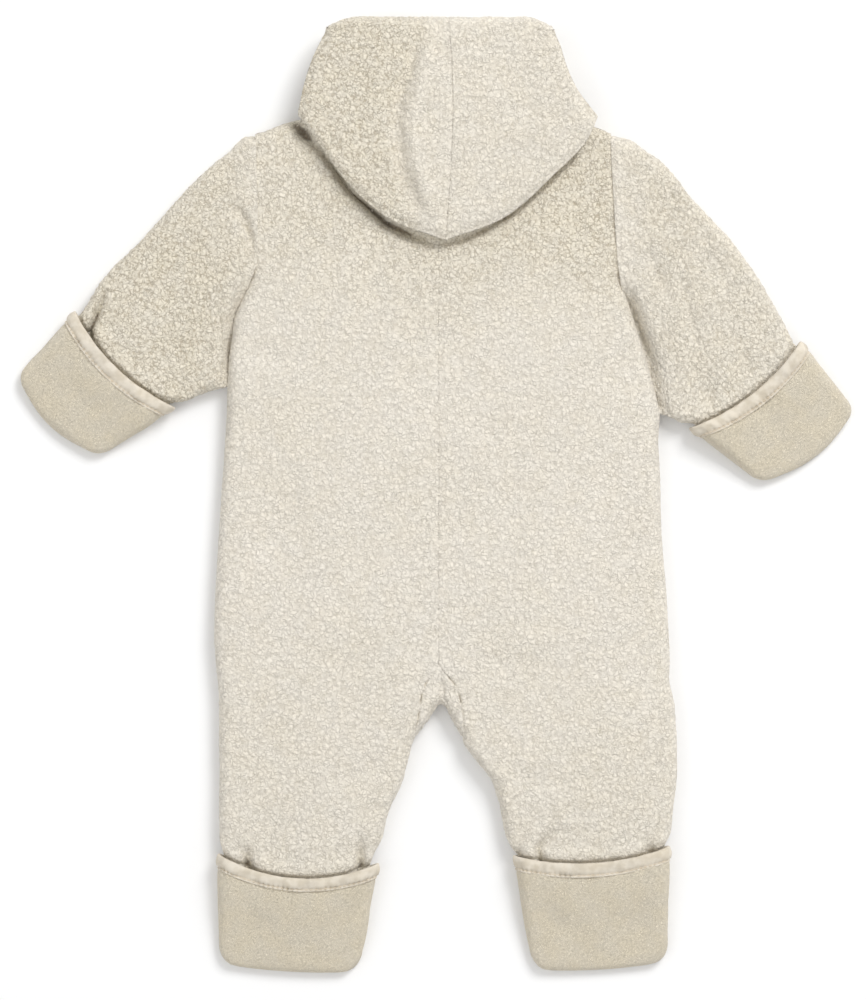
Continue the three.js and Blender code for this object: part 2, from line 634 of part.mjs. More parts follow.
// Plate under the chain with an arch that the pull's eye hangs on.
function zipSlider() {
  const { halfWidth, halfLength, plateZ, plateThick } = SLIDER;
  const { archInside, archOutside, archThick, archWidth, archHollow } = SLIDER;
  const outline = new THREE.Shape();
  outline.moveTo(-halfWidth * 0.72, -halfLength);
  outline.lineTo(halfWidth * 0.72, -halfLength);
  outline.quadraticCurveTo(halfWidth, -halfLength * 0.2, halfWidth, halfLength * 0.45);
  outline.quadraticCurveTo(halfWidth, halfLength, 0, halfLength);
  outline.quadraticCurveTo(-halfWidth, halfLength, -halfWidth, halfLength * 0.45);
  outline.quadraticCurveTo(-halfWidth, -halfLength * 0.2, -halfWidth * 0.72, -halfLength);
  const plate = new THREE.ExtrudeGeometry(outline, {
    depth: plateThick, bevelEnabled: false, curveSegments: 5,
  });
  plate.translate(0, 0, plateZ);
  const arch = new THREE.Shape();
  const sink = 0.4;
  const top = -archHollow - archThick;
  arch.moveTo(-archOutside, sink);
  arch.lineTo(-archOutside, -archHollow);
  arch.quadraticCurveTo(-archOutside, top, -archInside, top);
  arch.lineTo(archInside, top);
  arch.quadraticCurveTo(archOutside, top, archOutside, -archHollow);
  arch.lineTo(archOutside, sink);
  arch.lineTo(archInside, sink);
  arch.lineTo(archInside, -archHollow);
  arch.lineTo(-archInside, -archHollow);
  arch.lineTo(-archInside, sink);
  arch.closePath();
  const loop = new THREE.ExtrudeGeometry(arch, {
    depth: archWidth, bevelEnabled: false, curveSegments: 3,
  });
  loop.translate(0, 0, -archWidth / 2);
  loop.rotateX(Math.PI / 2);
  loop.rotateZ(Math.PI / 2);
  loop.translate(0, 0, plateZ);
  const joined = asManifold(plate).add(asManifold(loop));
  const piece = mesh('zip_slider', fromManifold(joined), METAL);
  piece.position.set(CENTRE_X, ZIP.sliderY, 0);
  return piece;
}

// Flat tab with an eye; its end bar lies in the slider's arch and turns there.
function zipPull() {
  const { thick, bar, window, halfWidth, length } = PULL;
  const outline = new THREE.Shape();
  outline.moveTo(-halfWidth * 0.8, bar);
  outline.lineTo(halfWidth * 0.8, bar);
  outline.lineTo(halfWidth, -length + halfWidth);
  outline.absarc(0, -length + halfWidth, halfWidth, 0, -Math.PI, true);
  outline.closePath();
  const eye = new THREE.Path();
  const eyeHalf = 1.7;
  eye.moveTo(-eyeHalf, -bar);
  eye.lineTo(-eyeHalf, -window);
  eye.lineTo(eyeHalf, -window);
  eye.lineTo(eyeHalf, -bar);
  eye.closePath();
  outline.holes.push(eye);
  const tab = new THREE.ExtrudeGeometry(outline, {
    depth: thick, bevelEnabled: false, curveSegments: 8,
  });
  const piece = mesh('zip_pull', tab, METAL);
  piece.position.set(CENTRE_X, ZIP.sliderY, PULL.axisZ - thick / 2);
  return piece;
}

function zip() {
  const length = ZIP.top - ZIP.bottom;
  const reach = ZIP.chainWidth / 2 + SEAM + ZIP.tapeWidth / 2;
  const tape = (side, direction) => alongZip(
    `zip_tape_${side}`, roundedBar(ZIP.tapeWidth, ZIP.tapeThick, length, 0.4),
    CENTRE_X + direction * reach, ZIP.tapeZ + ZIP.tapeThick / 2, ZIP_CLOTH,
  );
  const chain = alongZip(
    'zip_chain', roundedBar(ZIP.chainWidth, ZIP.chainThick, length, 1),
    CENTRE_X, ZIP.chainZ + ZIP.chainThick / 2, ZIP_CLOTH,
  );
  return [tape('left', -1), tape('right', 1), chain, zipSlider(), zipPull()];
}

// ---------- the garment ----------
const garment = new THREE.Group();
garment.add(bodyStrip('back_left', LEFT_ROWS, 'left', true));
garment.add(bodyStrip('back_right', RIGHT_ROWS, 'right', true));
garment.add(bodyStrip('front_left', LEFT_ROWS, 'left', false));
garment.add(bodyStrip('front_right', RIGHT_ROWS, 'right', false));
garment.add(gusset());
for (const side of ['left', 'right']) {
  garment.add(sleeve(side));
  garment.add(hoodHalf(side));
}
garment.add(hoodNeck());
garment.add(hoodUnder());
for (const name of Object.keys(POCKETS)) {
  garment.add(pocket(name));
  garment.add(binding(name));
}
garment.add(...zip());

// The origin is the middle of the whole garment's outline, on the surface.
garment.updateMatrixWorld(true);
const extent = new THREE.Box3().setFromObject(garment, true);
const middle = extent.getCenter(new THREE.Vector3());
garment.position.set(-middle.x, -middle.y, -extent.min.z);

export default garment;
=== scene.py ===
# %% [markdown]
# # A hooded baby pramsuit in teddy fleece, laid out on its front
# The garment lies with its back up. Its main cloth is a cream teddy fleece, a knitted
# ground with a curly pile. The mitts and booties are smooth beige fleece, bound along
# their open edge with a strip of jersey, and a zip closes the front, underneath.
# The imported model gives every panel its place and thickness. This file makes the cloth
# that is seen: fine shells with real curls, folds, bindings, stitches and zip teeth.

# %% Load the fixed frame
import json
import math

import bmesh
import bpy
import numpy as np
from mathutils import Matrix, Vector

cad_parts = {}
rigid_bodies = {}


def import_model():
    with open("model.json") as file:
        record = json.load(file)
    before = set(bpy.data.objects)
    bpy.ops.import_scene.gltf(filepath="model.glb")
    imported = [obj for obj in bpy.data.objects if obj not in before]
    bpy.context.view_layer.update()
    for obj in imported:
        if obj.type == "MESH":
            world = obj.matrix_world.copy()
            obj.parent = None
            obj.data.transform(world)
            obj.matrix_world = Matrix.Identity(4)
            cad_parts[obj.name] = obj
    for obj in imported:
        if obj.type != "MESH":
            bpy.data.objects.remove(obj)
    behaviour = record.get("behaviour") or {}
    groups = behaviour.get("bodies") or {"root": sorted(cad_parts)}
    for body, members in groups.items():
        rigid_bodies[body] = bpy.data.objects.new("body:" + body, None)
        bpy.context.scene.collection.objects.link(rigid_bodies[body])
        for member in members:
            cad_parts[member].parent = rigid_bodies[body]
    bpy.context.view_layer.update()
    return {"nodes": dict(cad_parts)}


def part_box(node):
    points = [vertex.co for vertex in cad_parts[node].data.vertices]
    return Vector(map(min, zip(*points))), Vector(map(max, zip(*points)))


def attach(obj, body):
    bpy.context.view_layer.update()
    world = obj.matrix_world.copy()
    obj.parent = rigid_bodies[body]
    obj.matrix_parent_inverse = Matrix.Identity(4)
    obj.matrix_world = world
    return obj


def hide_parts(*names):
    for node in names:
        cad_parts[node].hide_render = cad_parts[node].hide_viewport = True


for leftover in list(bpy.data.objects):
    bpy.data.objects.remove(leftover)
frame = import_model()
print("frame nodes:", len(frame["nodes"]))

# %% [markdown]
# ## Units and origin
# The cutting sizes below are in millimetres, as a maker writes them, and become metres
# when a mesh is made. The pattern's own zero lies near the frame's origin. How near is
# read off the zip chain, whose centre line and lower end the pattern knows.

# %% Millimetres and the pattern's origin
MM = 0.001
CENTRE_X = 1.4
ZIP_BOTTOM = -84.0
chain_low, chain_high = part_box("zip_chain")
ORIGIN = np.array([
    (chain_low.x + chain_high.x) / 2 / MM - CENTRE_X,
    chain_low.y / MM - ZIP_BOTTOM,
    0.0,
])
print("pattern origin in the frame, mm:", ORIGIN.round(2))

# %% [markdown]
# ## Camera
# A flat garment is looked at from straight above with a long lens, so that near and far
# parts keep their true proportions. The lens follows from how much floor should fit.

# %% Camera straight above the back
VIEW_HEIGHT = 3.0        # metres above the floor
CLOTH_LEVEL = 0.012      # height of the cloth that VIEW_TALL is measured on
VIEW_TALL = 0.680
SENSOR_TALL = 24.0       # millimetres, as lens makers count
VIEW_CENTRE = (-0.0018, -0.0030)
camera_data = bpy.data.cameras.new("camera")
camera_data.sensor_fit = "VERTICAL"
camera_data.sensor_height = SENSOR_TALL
camera_data.lens = SENSOR_TALL * (VIEW_HEIGHT - CLOTH_LEVEL) / VIEW_TALL
camera = bpy.data.objects.new("camera", camera_data)
camera.location = (VIEW_CENTRE[0], VIEW_CENTRE[1], VIEW_HEIGHT)
bpy.context.scene.collection.objects.link(camera)
bpy.context.scene.camera = camera
print("lens, mm:", round(camera_data.lens, 1))

# %% [markdown]
# ## Floor and light
# Pale cloth on a pale floor shows its shape by soft shadow alone. One broad light from
# the upper right draws the folds and the edges, a weak one comes from the other side,
# and an even sky fills the rest. The floor is only a stage and not part of the garment.

# %% Pale floor
FLOOR_SIZE, FLOOR_LEVEL = 6, -0.0003
bpy.ops.mesh.primitive_plane_add(size=FLOOR_SIZE, location=(0, 0, FLOOR_LEVEL))
floor = bpy.context.object
floor.name = "floor"
floor_material = bpy.data.materials.new("floor_paper")
floor_material.use_nodes = True
floor_shader = floor_material.node_tree.nodes["Principled BSDF"]
floor_shader.inputs["Base Color"].default_value = (0.95, 0.95, 0.95, 1)
floor_shader.inputs["Roughness"].default_value = 0.9
floor_shader.inputs["Specular IOR Level"].default_value = 0.1
floor.data.materials.append(floor_material)
print("floor:", FLOOR_SIZE, "m square")

# %% Soft studio light


def area_light(name, place, size, watts):
    """A square soft light that looks at the garment's middle."""
    data = bpy.data.lights.new(name, "AREA")
    data.shape = "SQUARE"
    data.size = size
    data.energy = watts
    light = bpy.data.objects.new(name, data)
    light.location = place
    aim = Vector((0, 0, 0)) - Vector(place)
    light.rotation_euler = aim.to_track_quat("-Z", "Y").to_euler()
    bpy.context.scene.collection.objects.link(light)
    print(name, watts, "W")


area_light("key_softbox", place=(1.7, 2.4, 2.9), size=1.6, watts=92)
area_light("fill_softbox", place=(-2.4, -1.2, 3.2), size=2.4, watts=18)

# %% Even sky
SKY_STRENGTH = 0.68
world = bpy.data.worlds.new("studio")
world.use_nodes = True
sky = world.node_tree.nodes["Background"]
sky.inputs["Color"].default_value = (1, 1, 1, 1)
sky.inputs["Strength"].default_value = SKY_STRENGTH
bpy.context.scene.world = world
bpy.context.scene.view_settings.view_transform = "Standard"
print("sky strength:", SKY_STRENGTH)

# %% [markdown]
# ## Curves and noise
# Three small tools shape everything: a curve through a few given points, smooth
# random noise, and a cell pattern in which every point knows how far it is from the
# nearest border between two cells. The cells become the curls of the pile.

# %% Soft steps and blends


def smoothstep(x, low, high):
    """0 below low, 1 above high, and soft in between."""
    t = np.clip((x - low) / (high - low), 0, 1)
    return t * t * (3 - 2 * t)


def lerp(a, b, t):
    """a where t is 0, b where t is 1, and evenly in between."""
    return a + (b - a) * t


print("a quarter of the way up a soft step:", smoothstep(0.25, 0, 1))

# %% Curves through given points


def through(points, t):
    """Points at t (0..1, by length) on a smooth curve through the given ones."""
    points = np.asarray(points, float)
    steps = np.linalg.norm(np.diff(points, axis=0), axis=-1)
    knots = np.concatenate([[0], np.cumsum(steps)]) / steps.sum()
    t = np.clip(np.asarray(t, float), 0, 1)
    slopes = np.gradient(points, knots, axis=0)
    left = np.clip(np.searchsorted(knots, t, side="right") - 1, 0, len(knots) - 2)
    gap = (knots[left + 1] - knots[left])[..., None]
    f = ((t - knots[left])[..., None]) / gap
    a, b = points[left], points[left + 1]
    slope_a, slope_b = slopes[left] * gap, slopes[left + 1] * gap
    return ((2 * f**3 - 3 * f**2 + 1) * a + (f**3 - 2 * f**2 + f) * slope_a
            + (3 * f**2 - 2 * f**3) * b + (f**3 - f**2) * slope_b)


print("top of a curve over three points:", through([(0, 0), (1, 1), (2, 0)], [0.5]))

# %% Edges from a table of levels


def edge_profile(table, column, y, soften=9):
    """A column of a y-table at every y, with its corners eased over about soften mm."""
    table = np.asarray(table, float)[::-1]
    values = np.interp(y, table[:, 0], table[:, column])
    width = max(1, int(soften / abs(y[1] - y[0])) // 2 * 2 + 1)
    padded = np.pad(values, width // 2, mode="edge")
    return np.convolve(padded, np.ones(width) / width, mode="valid")


print("an edge at three levels:", edge_profile([(9, 4.0), (-9, 2.0)], 1, np.array([9.0, 0.0, -9.0])))

# %% Repeatable noise


def scatter(i, j, seed):
    """A repeatable random number from 0 to 1 for each pair of whole numbers.

    The large numbers have no meaning of their own: they only mix the bits.
    """
    mixed = (i * 73856093) ^ (j * 19349663) ^ (seed * 83492791 + 977)
    mixed = ((mixed & 0x7FFFFFFF) * 1103515245 + 12345) & 0x7FFFFFFF
    mixed = ((mixed ^ (mixed >> 11)) * 1664525 + 1013904223) & 0x7FFFFFFF
    return (mixed ^ (mixed >> 15)) / float(0x7FFFFFFF)


def drift(u, v, size, seed):
    """Smooth noise from -1 to 1 that changes over about size millimetres."""
    u, v = np.broadcast_arrays(u / size, v / size)
    i, j = np.floor(u).astype(np.int64), np.floor(v).astype(np.int64)
    f, g = smoothstep(u - i, 0, 1), smoothstep(v - j, 0, 1)
    low = lerp(scatter(i, j, seed), scatter(i + 1, j, seed), f)
    high = lerp(scatter(i, j + 1, seed), scatter(i + 1, j + 1, seed), f)
    return lerp(low, high, g) * 2 - 1


walk = np.arange(0, 200.0)
print("noise runs from", drift(walk, walk, 9, 1).min().round(2), "to",
      drift(walk, walk, 9, 1).max().round(2))

# %% Cells
FAR_OFF = 9.0                       # more than any distance to a neighbour, in cell sizes
CELL_MARGIN, CELL_FREE = 0.1, 0.8   # a cell's centre keeps off its square's borders


def cells(u, v, size, seed):
    """Distance in mm to the nearest border between cells of about that size.

    The second result is a random number of its own for each cell.
    """
    u, v = u / size, v / size
    i, j = np.floor(u).astype(np.int64), np.floor(v).astype(np.int64)
    nearest, second, chosen = np.full(u.shape, FAR_OFF), np.full(u.shape, FAR_OFF), np.zeros(u.shape)
    for near_i in (i - 1, i, i + 1):
        for near_j in (j - 1, j, j + 1):
            away = np.hypot(u - near_i - CELL_MARGIN - CELL_FREE * scatter(near_i, near_j, seed),
                            v - near_j - CELL_MARGIN - CELL_FREE * scatter(near_i, near_j, seed + 1))
            closer = away < nearest
            second = np.where(closer, nearest, np.minimum(second, away))
            chosen = np.where(closer, scatter(near_i, near_j, seed + 2), chosen)
            nearest = np.minimum(nearest, away)
    return (second - nearest) * size, chosen


print("farthest from a border, mm:", cells(walk, 0 * walk, 4, 1)[0].max().round(2))

# %% [markdown]
# ## The pile
# Teddy fleece is combed into small soft curls with thin gaps between them, and the curls
# gather in tufts. Real geometry carries the tufts, so that the cloth's edge is lumpy too,
# and the material adds the finest curls. The tufts follow a cell pattern bent by noise,
# each one is a little higher or lower, and many of the gaps are nearly closed.

# %% Height of the tufts
TUFT_SIZE = 4.2
TUFT_HEIGHT, TUFT_ROUND = 0.45, 1.4     # of its dome, and how far in the dome still rises
GAP_DEPTH, GAP_WIDE = 0.45, 0.8
NEARLY_SHUT = 0.5                       # what is left of a gap where two tufts lie close
TUFT_UNEVEN = 0.3
BEND, BEND_OVER = 1.5, 6.3              # the gaps bend that far, over that length
KINK, KINK_OVER = 0.6, 2.3
SWELL, SWELL_OVER = 0.22, 12
FRIZZ, FRIZZ_OVER = 0.12, 2.2


def tufts(u, v, seed):
    """Height of the pile in mm at a place on the cloth, and a mask: 0 in a gap, 1 on a tuft."""
    bent_u, bent_v = [
        place + BEND * drift(u, v, BEND_OVER, seed + n) + KINK * drift(u, v, KINK_OVER, seed + n + 1)
        for place, n in ((u, 11), (v, 13))]
    border, number = cells(bent_u, bent_v, TUFT_SIZE, seed + 15)
    ajar = lerp(NEARLY_SHUT, 1.0, smoothstep(drift(u, v, 4.6, seed + 21), -0.6, 0.6))
    gap = np.exp(-border / GAP_WIDE) * ajar
    dome = 1 - np.exp(-border / TUFT_ROUND)
    height = (TUFT_HEIGHT * dome - GAP_DEPTH * gap + TUFT_UNEVEN * (number - 0.5)
              + SWELL * drift(u, v, SWELL_OVER, seed + 22)
              + FRIZZ * drift(u, v, FRIZZ_OVER, seed + 23))
    return height, np.clip(1 - gap, 0, 1)


print("tufts stand up to", tufts(walk, 0 * walk, 1)[0].max().round(2), "mm")

# %% [markdown]
# ## Cloth as closed shells
# Every piece starts as a grid of points on the outer face of its cloth. The face that
# shows has a point about every millimetre. The hidden inner face only needs one point in
# four, and the two are laced together round the edges, so that the mesh is closed.
# Blender could thicken a surface by a modifier, but then both faces would be as fine.

# %% Which way a grid faces


def grid_normals(grid, wraps):
    """Unit normals of a grid of points (rows, columns, 3)."""
    down = np.gradient(grid, axis=0)
    if wraps:
        across = (np.roll(grid, -1, axis=1) - np.roll(grid, 1, axis=1)) / 2
    else:
        across = np.gradient(grid, axis=1)
    normal = np.cross(across, down)
    length = np.linalg.norm(normal, axis=-1, keepdims=True)
    return normal / np.maximum(length, 1e-9)


slope = np.array([[(0.0, 1.0, 0.0), (1.0, 1.0, 1.0)], [(0.0, 0.0, 0.0), (1.0, 0.0, 1.0)]])
print("a slope of 45 degrees faces", grid_normals(slope, False)[0, 0].round(2))

# %% The hidden inner face
COARSE = 4                  # the inner face has one point where the outer one has so many
LOOKS_UP = (0.3, 0.7)       # upward part of a normal, from a side to a top
DEEPEST = 9                 # how much lower the inner face may go under a crease


def inside_of(grid, wraps, wall):
    """The inner face, a wall's thickness in, and lower under a crease so that it never shows."""
    normal = grid_normals(grid, wraps)
    lowest = grid[..., 2]
    for axis, mode in ((0, "edge"), (1, "wrap" if wraps else "edge")):
        pad = [(COARSE, COARSE) if n == axis else (0, 0) for n in (0, 1)]
        wide = np.pad(lowest, pad, mode=mode)
        size = grid.shape[axis]
        lowest = np.min([wide.take(range(n, n + size), axis) for n in range(2 * COARSE + 1)], axis=0)
    inner = grid - normal * wall
    faces_up = smoothstep(normal[..., 2], *LOOKS_UP)
    inner[..., 2] -= faces_up * np.minimum(grid[..., 2] - lowest, DEEPEST)
    return inner


def count(length, step):
    """How many points a line of that length needs, fitting the coarse inner face."""
    return COARSE * max(2, round(length / step / COARSE)) + 1


print("points on 100 mm at 1 mm:", count(100, 1))

# %% Faces of a grid and of its edges


def quads_of(index, wraps):
    """Corner numbers of all the faces of a grid of vertex numbers."""
    right = np.roll(index, -1, axis=1) if wraps else index[:, 1:]
    left = index if wraps else index[:, :-1]
    return np.stack([left[:-1], left[1:], right[1:], right[:-1]], axis=-1).reshape(-1, 4)


def lace(fine, coarse):
    """Triangles between a fine edge and a coarse one with every COARSE-th point."""
    found = []
    for n in range(len(coarse) - 1):
        a, b = coarse[n], coarse[n + 1]
        part = fine[n * COARSE:(n + 1) * COARSE + 1]
        half = len(part) // 2
        found += [(part[k], part[k + 1], a if k < half else b) for k in range(len(part) - 1)]
        found.append((part[half], b, a))
    return found


def ladder(row):
    """Faces that close the flattened last ring of a pocket, over point against under point.

    At the ring's two ends a corner comes twice, is dropped once and leaves a triangle.
    """
    half = len(row) // 2
    faces = []
    for n in range(half):
        corners = [row[n], row[n + 1], row[-n - 1], row[-n % len(row)]]
        faces.append(list(dict.fromkeys(corners)))
    return faces


print("a ring of eight closes with", ladder(list(range(8))))

# %% Writing a mesh
TABLE_GAP = 0.05


def to_metres(points):
    """Frame metres; cloth that would sink into the table is pressed flat on it."""
    placed = points + ORIGIN
    placed[:, 2] = np.maximum(placed[:, 2], TABLE_GAP)
    return placed * MM


def write_mesh(name, points, faces, marks=None, cut_edges=False):
    """A mesh object from pattern points in mm, lists of faces, and named numbers per point.

    It is shaded smooth, but the last list of faces may be crisp, as a cut edge is.
    """
    mesh = bpy.data.meshes.new(name)
    corners = np.concatenate([np.asarray(f).reshape(-1) for f in faces if len(f)]).astype(np.int32)
    sizes = np.concatenate([np.full(len(f), np.asarray(f).shape[1]) for f in faces if len(f)])
    mesh.vertices.add(len(points))
    mesh.vertices.foreach_set("co", to_metres(points).astype(np.float32).reshape(-1))
    mesh.loops.add(len(corners))
    mesh.loops.foreach_set("vertex_index", corners)
    mesh.polygons.add(len(sizes))
    starts = np.concatenate([[0], np.cumsum(sizes)[:-1]]).astype(np.int32)
    mesh.polygons.foreach_set("loop_start", starts)
    smooth = np.arange(len(sizes)) < len(sizes) - (len(faces[-1]) if cut_edges else 0)
    mesh.polygons.foreach_set("use_smooth", smooth)
    mesh.update(calc_edges=True)
    mesh.validate()
    for label, values in (marks or {}).items():
        layer = mesh.attributes.new(label, "FLOAT", "POINT")
        layer.data.foreach_set("value", values.astype(np.float32))
    shape = bmesh.new()
    shape.from_mesh(mesh)
    bmesh.ops.recalc_face_normals(shape, faces=shape.faces)
    shape.to_mesh(mesh)
    shape.free()
    piece = bpy.data.objects.new(name, mesh)
    bpy.context.scene.collection.objects.link(piece)
    return piece


print("cloth stays", TABLE_GAP, "mm above the floor")

# %% Closing a cloth
# Painted shade mark and painted nap shade given to the hidden inner face.
HIDDEN_SHADE_MARK, HIDDEN_NAP_SHADE = 0.5, 0.4     # marks where nobody looks


def cloth(name, outer, inner, wraps=False, blind=False, painted_shade_mark=None, painted_nap_shade=None):
    """Closed cloth between the face that shows and the hidden one, both grids of points.

    A tube wraps round, and a blind one is shut at its last ring, as a pocket is.
    """
    inner = inner[::COARSE, ::COARSE]
    rows, columns = outer.shape[:2]
    outside = np.arange(rows * columns).reshape(rows, columns)
    inside = rows * columns + np.arange(inner.shape[0] * inner.shape[1]).reshape(inner.shape[:2])
    fours, threes = [quads_of(outside, wraps), quads_of(inside, wraps)], []

    def close(fine, coarse):
        ends = 1 if wraps else 0
        threes.extend(lace(list(fine) + [fine[0]] * ends, list(coarse) + [coarse[0]] * ends))

    close(outside[0], inside[0])
    if blind:
        for row in (outside[-1], inside[-1]):
            steps = ladder(list(row))
            threes.extend(face for face in steps if len(face) == 3)
            fours.append(np.array([face for face in steps if len(face) == 4]))
    else:
        close(outside[-1], inside[-1])
    if not wraps:
        close(outside[:, 0], inside[:, 0])
        close(outside[:, -1], inside[:, -1])
    points = np.concatenate([outer.reshape(-1, 3), inner.reshape(-1, 3)])
    marks = {}
    for label, values in (("painted_shade_mark", painted_shade_mark), ("painted_nap_shade", painted_nap_shade)):
        if values is not None:
            marks[label] = np.concatenate([values.reshape(-1), np.full(inner.size // 3, HIDDEN_SHADE_MARK)])
    return write_mesh(f"{name}_cloth", points, [np.concatenate(fours), np.array(threes)], marks,
                      cut_edges=True)


def pillow(name, grid, painted_shade_mark):
    """A closed rounded layer: a tube of points whose first and last rings are flattened shut."""
    index = np.arange(grid.size // 3).reshape(grid.shape[:2])
    steps = ladder(list(index[0])) + ladder(list(index[-1]))
    fours = [quads_of(index, True), np.array([face for face in steps if len(face) == 4])]
    threes = np.array([face for face in steps if len(face) == 3])
    marks = {"painted_shade_mark": painted_shade_mark.reshape(-1), "painted_nap_shade": np.full(painted_shade_mark.size, HIDDEN_NAP_SHADE)}
    return write_mesh(f"{name}_cloth", grid.reshape(-1, 3), [np.concatenate(fours), threes], marks)


print("shell tools ready")

# %% [markdown]
# ## Creases
# Laid-out fleece is never quite flat. Each crease is a short line of given points
# with its own depth and width. It is deepest in its middle and fades at its ends, and a
# negative depth makes a soft ridge. A crease that starts at a seam or a binding is held
# at its start and fades from there. The points are on the garment, in millimetres.

# %% A crease as a soft trough
CREASE_END = 0.04       # share of a crease's length where it has nearly faded


def trough(x, y, line, depth, width, held="middle"):
    """How far the cloth sinks at (x, y) beside a crease."""
    line = np.asarray(line, float)
    best = np.full(x.shape, 1e9)
    where = np.zeros(x.shape)
    lengths = np.hypot(*np.diff(line, axis=0).T)
    total, passed = lengths.sum(), 0.0
    for (ax, ay), (bx, by), length in zip(line[:-1], line[1:], lengths):
        t = np.clip(((x - ax) * (bx - ax) + (y - ay) * (by - ay)) / length**2, 0, 1)
        away = np.hypot(x - ax - t * (bx - ax), y - ay - t * (by - ay))
        closer = away < best
        where = np.where(closer, (passed + t * length) / total, where)
        best = np.minimum(best, away)
        passed += length
    shown = np.clip(where * (1 - 2 * CREASE_END) + CREASE_END, 0, 1)
    fade = {"middle": np.sin(np.pi * shown),
            "start": np.cos(np.pi / 2 * where),
            "whole": np.ones(x.shape)}[held]
    return depth * fade * np.exp(-((best / width) ** 2))


def sink(x, y, creases):
    """All the creases of a piece together."""
    return sum((trough(x, y, **crease) for crease in creases), np.zeros(x.shape))


example = dict(line=[(0, 0), (10, 0)], depth=2.0, width=3.0)
print("in the middle of a crease the cloth sinks", sink(np.array([5.0]), np.array([0.0]), [example]))

# %% [markdown]
# ## Pockets: where the mitts and booties lie
# A fold-over mitt or bootie is a flattened pocket. It has an opening from a to b, a length
# from there to its tip, and corners that are rounded off. The opening bows towards the
# tip, because the sleeve inside pushes it open. Sleeves and legs need to know where the
# openings are, so the pockets are measured first.

# %% Pocket sizes
POCKETS = {
    "mitt_left": dict(a=(-246, 125.5), b=(-178, 60), turn=1, length=62, bow=8, tip_bow=6,
                      taper_a=2.5, taper_b=15, corner=11),
    "mitt_right": dict(a=(247.5, 105), b=(172, 46), turn=-1, length=62, bow=8, tip_bow=6,
                       taper_a=-1, taper_b=17, corner=11),
    "bootie_left": dict(a=(-148.4, -243.5), b=(-39.8, -250), turn=1, length=76, bow=13,
                        tip_bow=1.5, taper_a=5, taper_b=9.5, corner=14),
    "bootie_right": dict(a=(52.6, -244.5), b=(158, -238.3), turn=1, length=80, bow=8,
                         tip_bow=1.5, taper_a=8.5, taper_b=6, corner=14),
}
CORNER_CUT = 0.85       # how much of a full round a corner takes off the sides


class Pocket:
    """Where each point of a flattened pocket lies."""

    def __init__(self, a, b, turn, length, bow, tip_bow, taper_a, taper_b, corner):
        self.start = np.array(a, float)
        way = np.array(b, float) - self.start
        self.opening = np.hypot(*way)
        self.across = way / self.opening
        self.inward = np.array([self.across[1] * turn, -self.across[0] * turn])
        self.length, self.bow, self.tip_bow = length, bow, tip_bow
        self.taper_a, self.taper_b, self.corner = taper_a, taper_b, corner

    def sides(self, depth):
        """How far from a, along the opening, the two sides lie at each depth."""
        over = np.maximum(0, depth - self.length + self.corner)
        cut = CORNER_CUT * (self.corner - np.sqrt(np.maximum(self.corner**2 - over**2, 0)))
        share = depth / self.length
        return self.taper_a * share + cut, self.opening - self.taper_b * share - cut

    def place(self, s, depth, inset=0.0):
        """Points at s, from 0 on one side to 1 on the other, and at a depth."""
        low, high = self.sides(depth)
        bowed = depth + 4 * s * (1 - s) * lerp(self.bow, self.tip_bow, depth / self.length)
        along = lerp(low + inset, high - inset, s)
        return self.start + along[..., None] * self.across + bowed[..., None] * self.inward

    def depth_at(self, x, y):
        """How deep inside the pocket a point lies, negative before the opening."""
        local = np.stack([x - self.start[0], y - self.start[1]], axis=-1)
        s = np.clip(local @ self.across / self.opening, 0, 1)
        return local @ self.inward - self.bow * 4 * s * (1 - s)


POCKET = {name: Pocket(**sizes) for name, sizes in POCKETS.items()}
print({name: round(float(p.opening)) for name, p in POCKET.items()}, "mm openings")

# %% How cloth is squeezed where it goes into a pocket
TUCK_STACK, TUCK_LIFT = 12.2, 3.4
TUCK_SLOPE, TUCK_END = 26, 4        # it is squeezed over this stretch before the opening
NIP, NIP_REACH = 3.4, 1.5
PUFF, PUFF_REACH, PUFF_BEFORE = 1.3, 4, 6


def tucked(x, y, pocket, stack):
    """Thickness of sleeve or leg at (x, y), and how far it is lifted off the floor."""
    near = smoothstep(POCKET[pocket].depth_at(x, y), -TUCK_SLOPE, -TUCK_END)
    return lerp(stack, TUCK_STACK, near), TUCK_LIFT * near


def seam(distance, reach=1.6):
    """1 on a seam and 0 away from it."""
    return np.exp(-((distance / reach) ** 2))


def at_opening(depth):
    """Cloth swells just before an opening and is nipped by its edge."""
    return NIP * seam(depth, NIP_REACH) - PUFF * seam(depth + PUFF_BEFORE, PUFF_REACH)


print("nipped by", round(float(at_opening(0.0)), 2), "mm, puffed by",
      round(float(-at_opening(-PUFF_BEFORE)), 2), "mm")


# %% [markdown]
# ## Body halves
# Each half of the back is cut in one with the back of its leg, and the front the same.
# The table holds a maker's levels: height on the garment, then the distance of the
# centre seam or inseam and of the armhole or side seam from the middle.

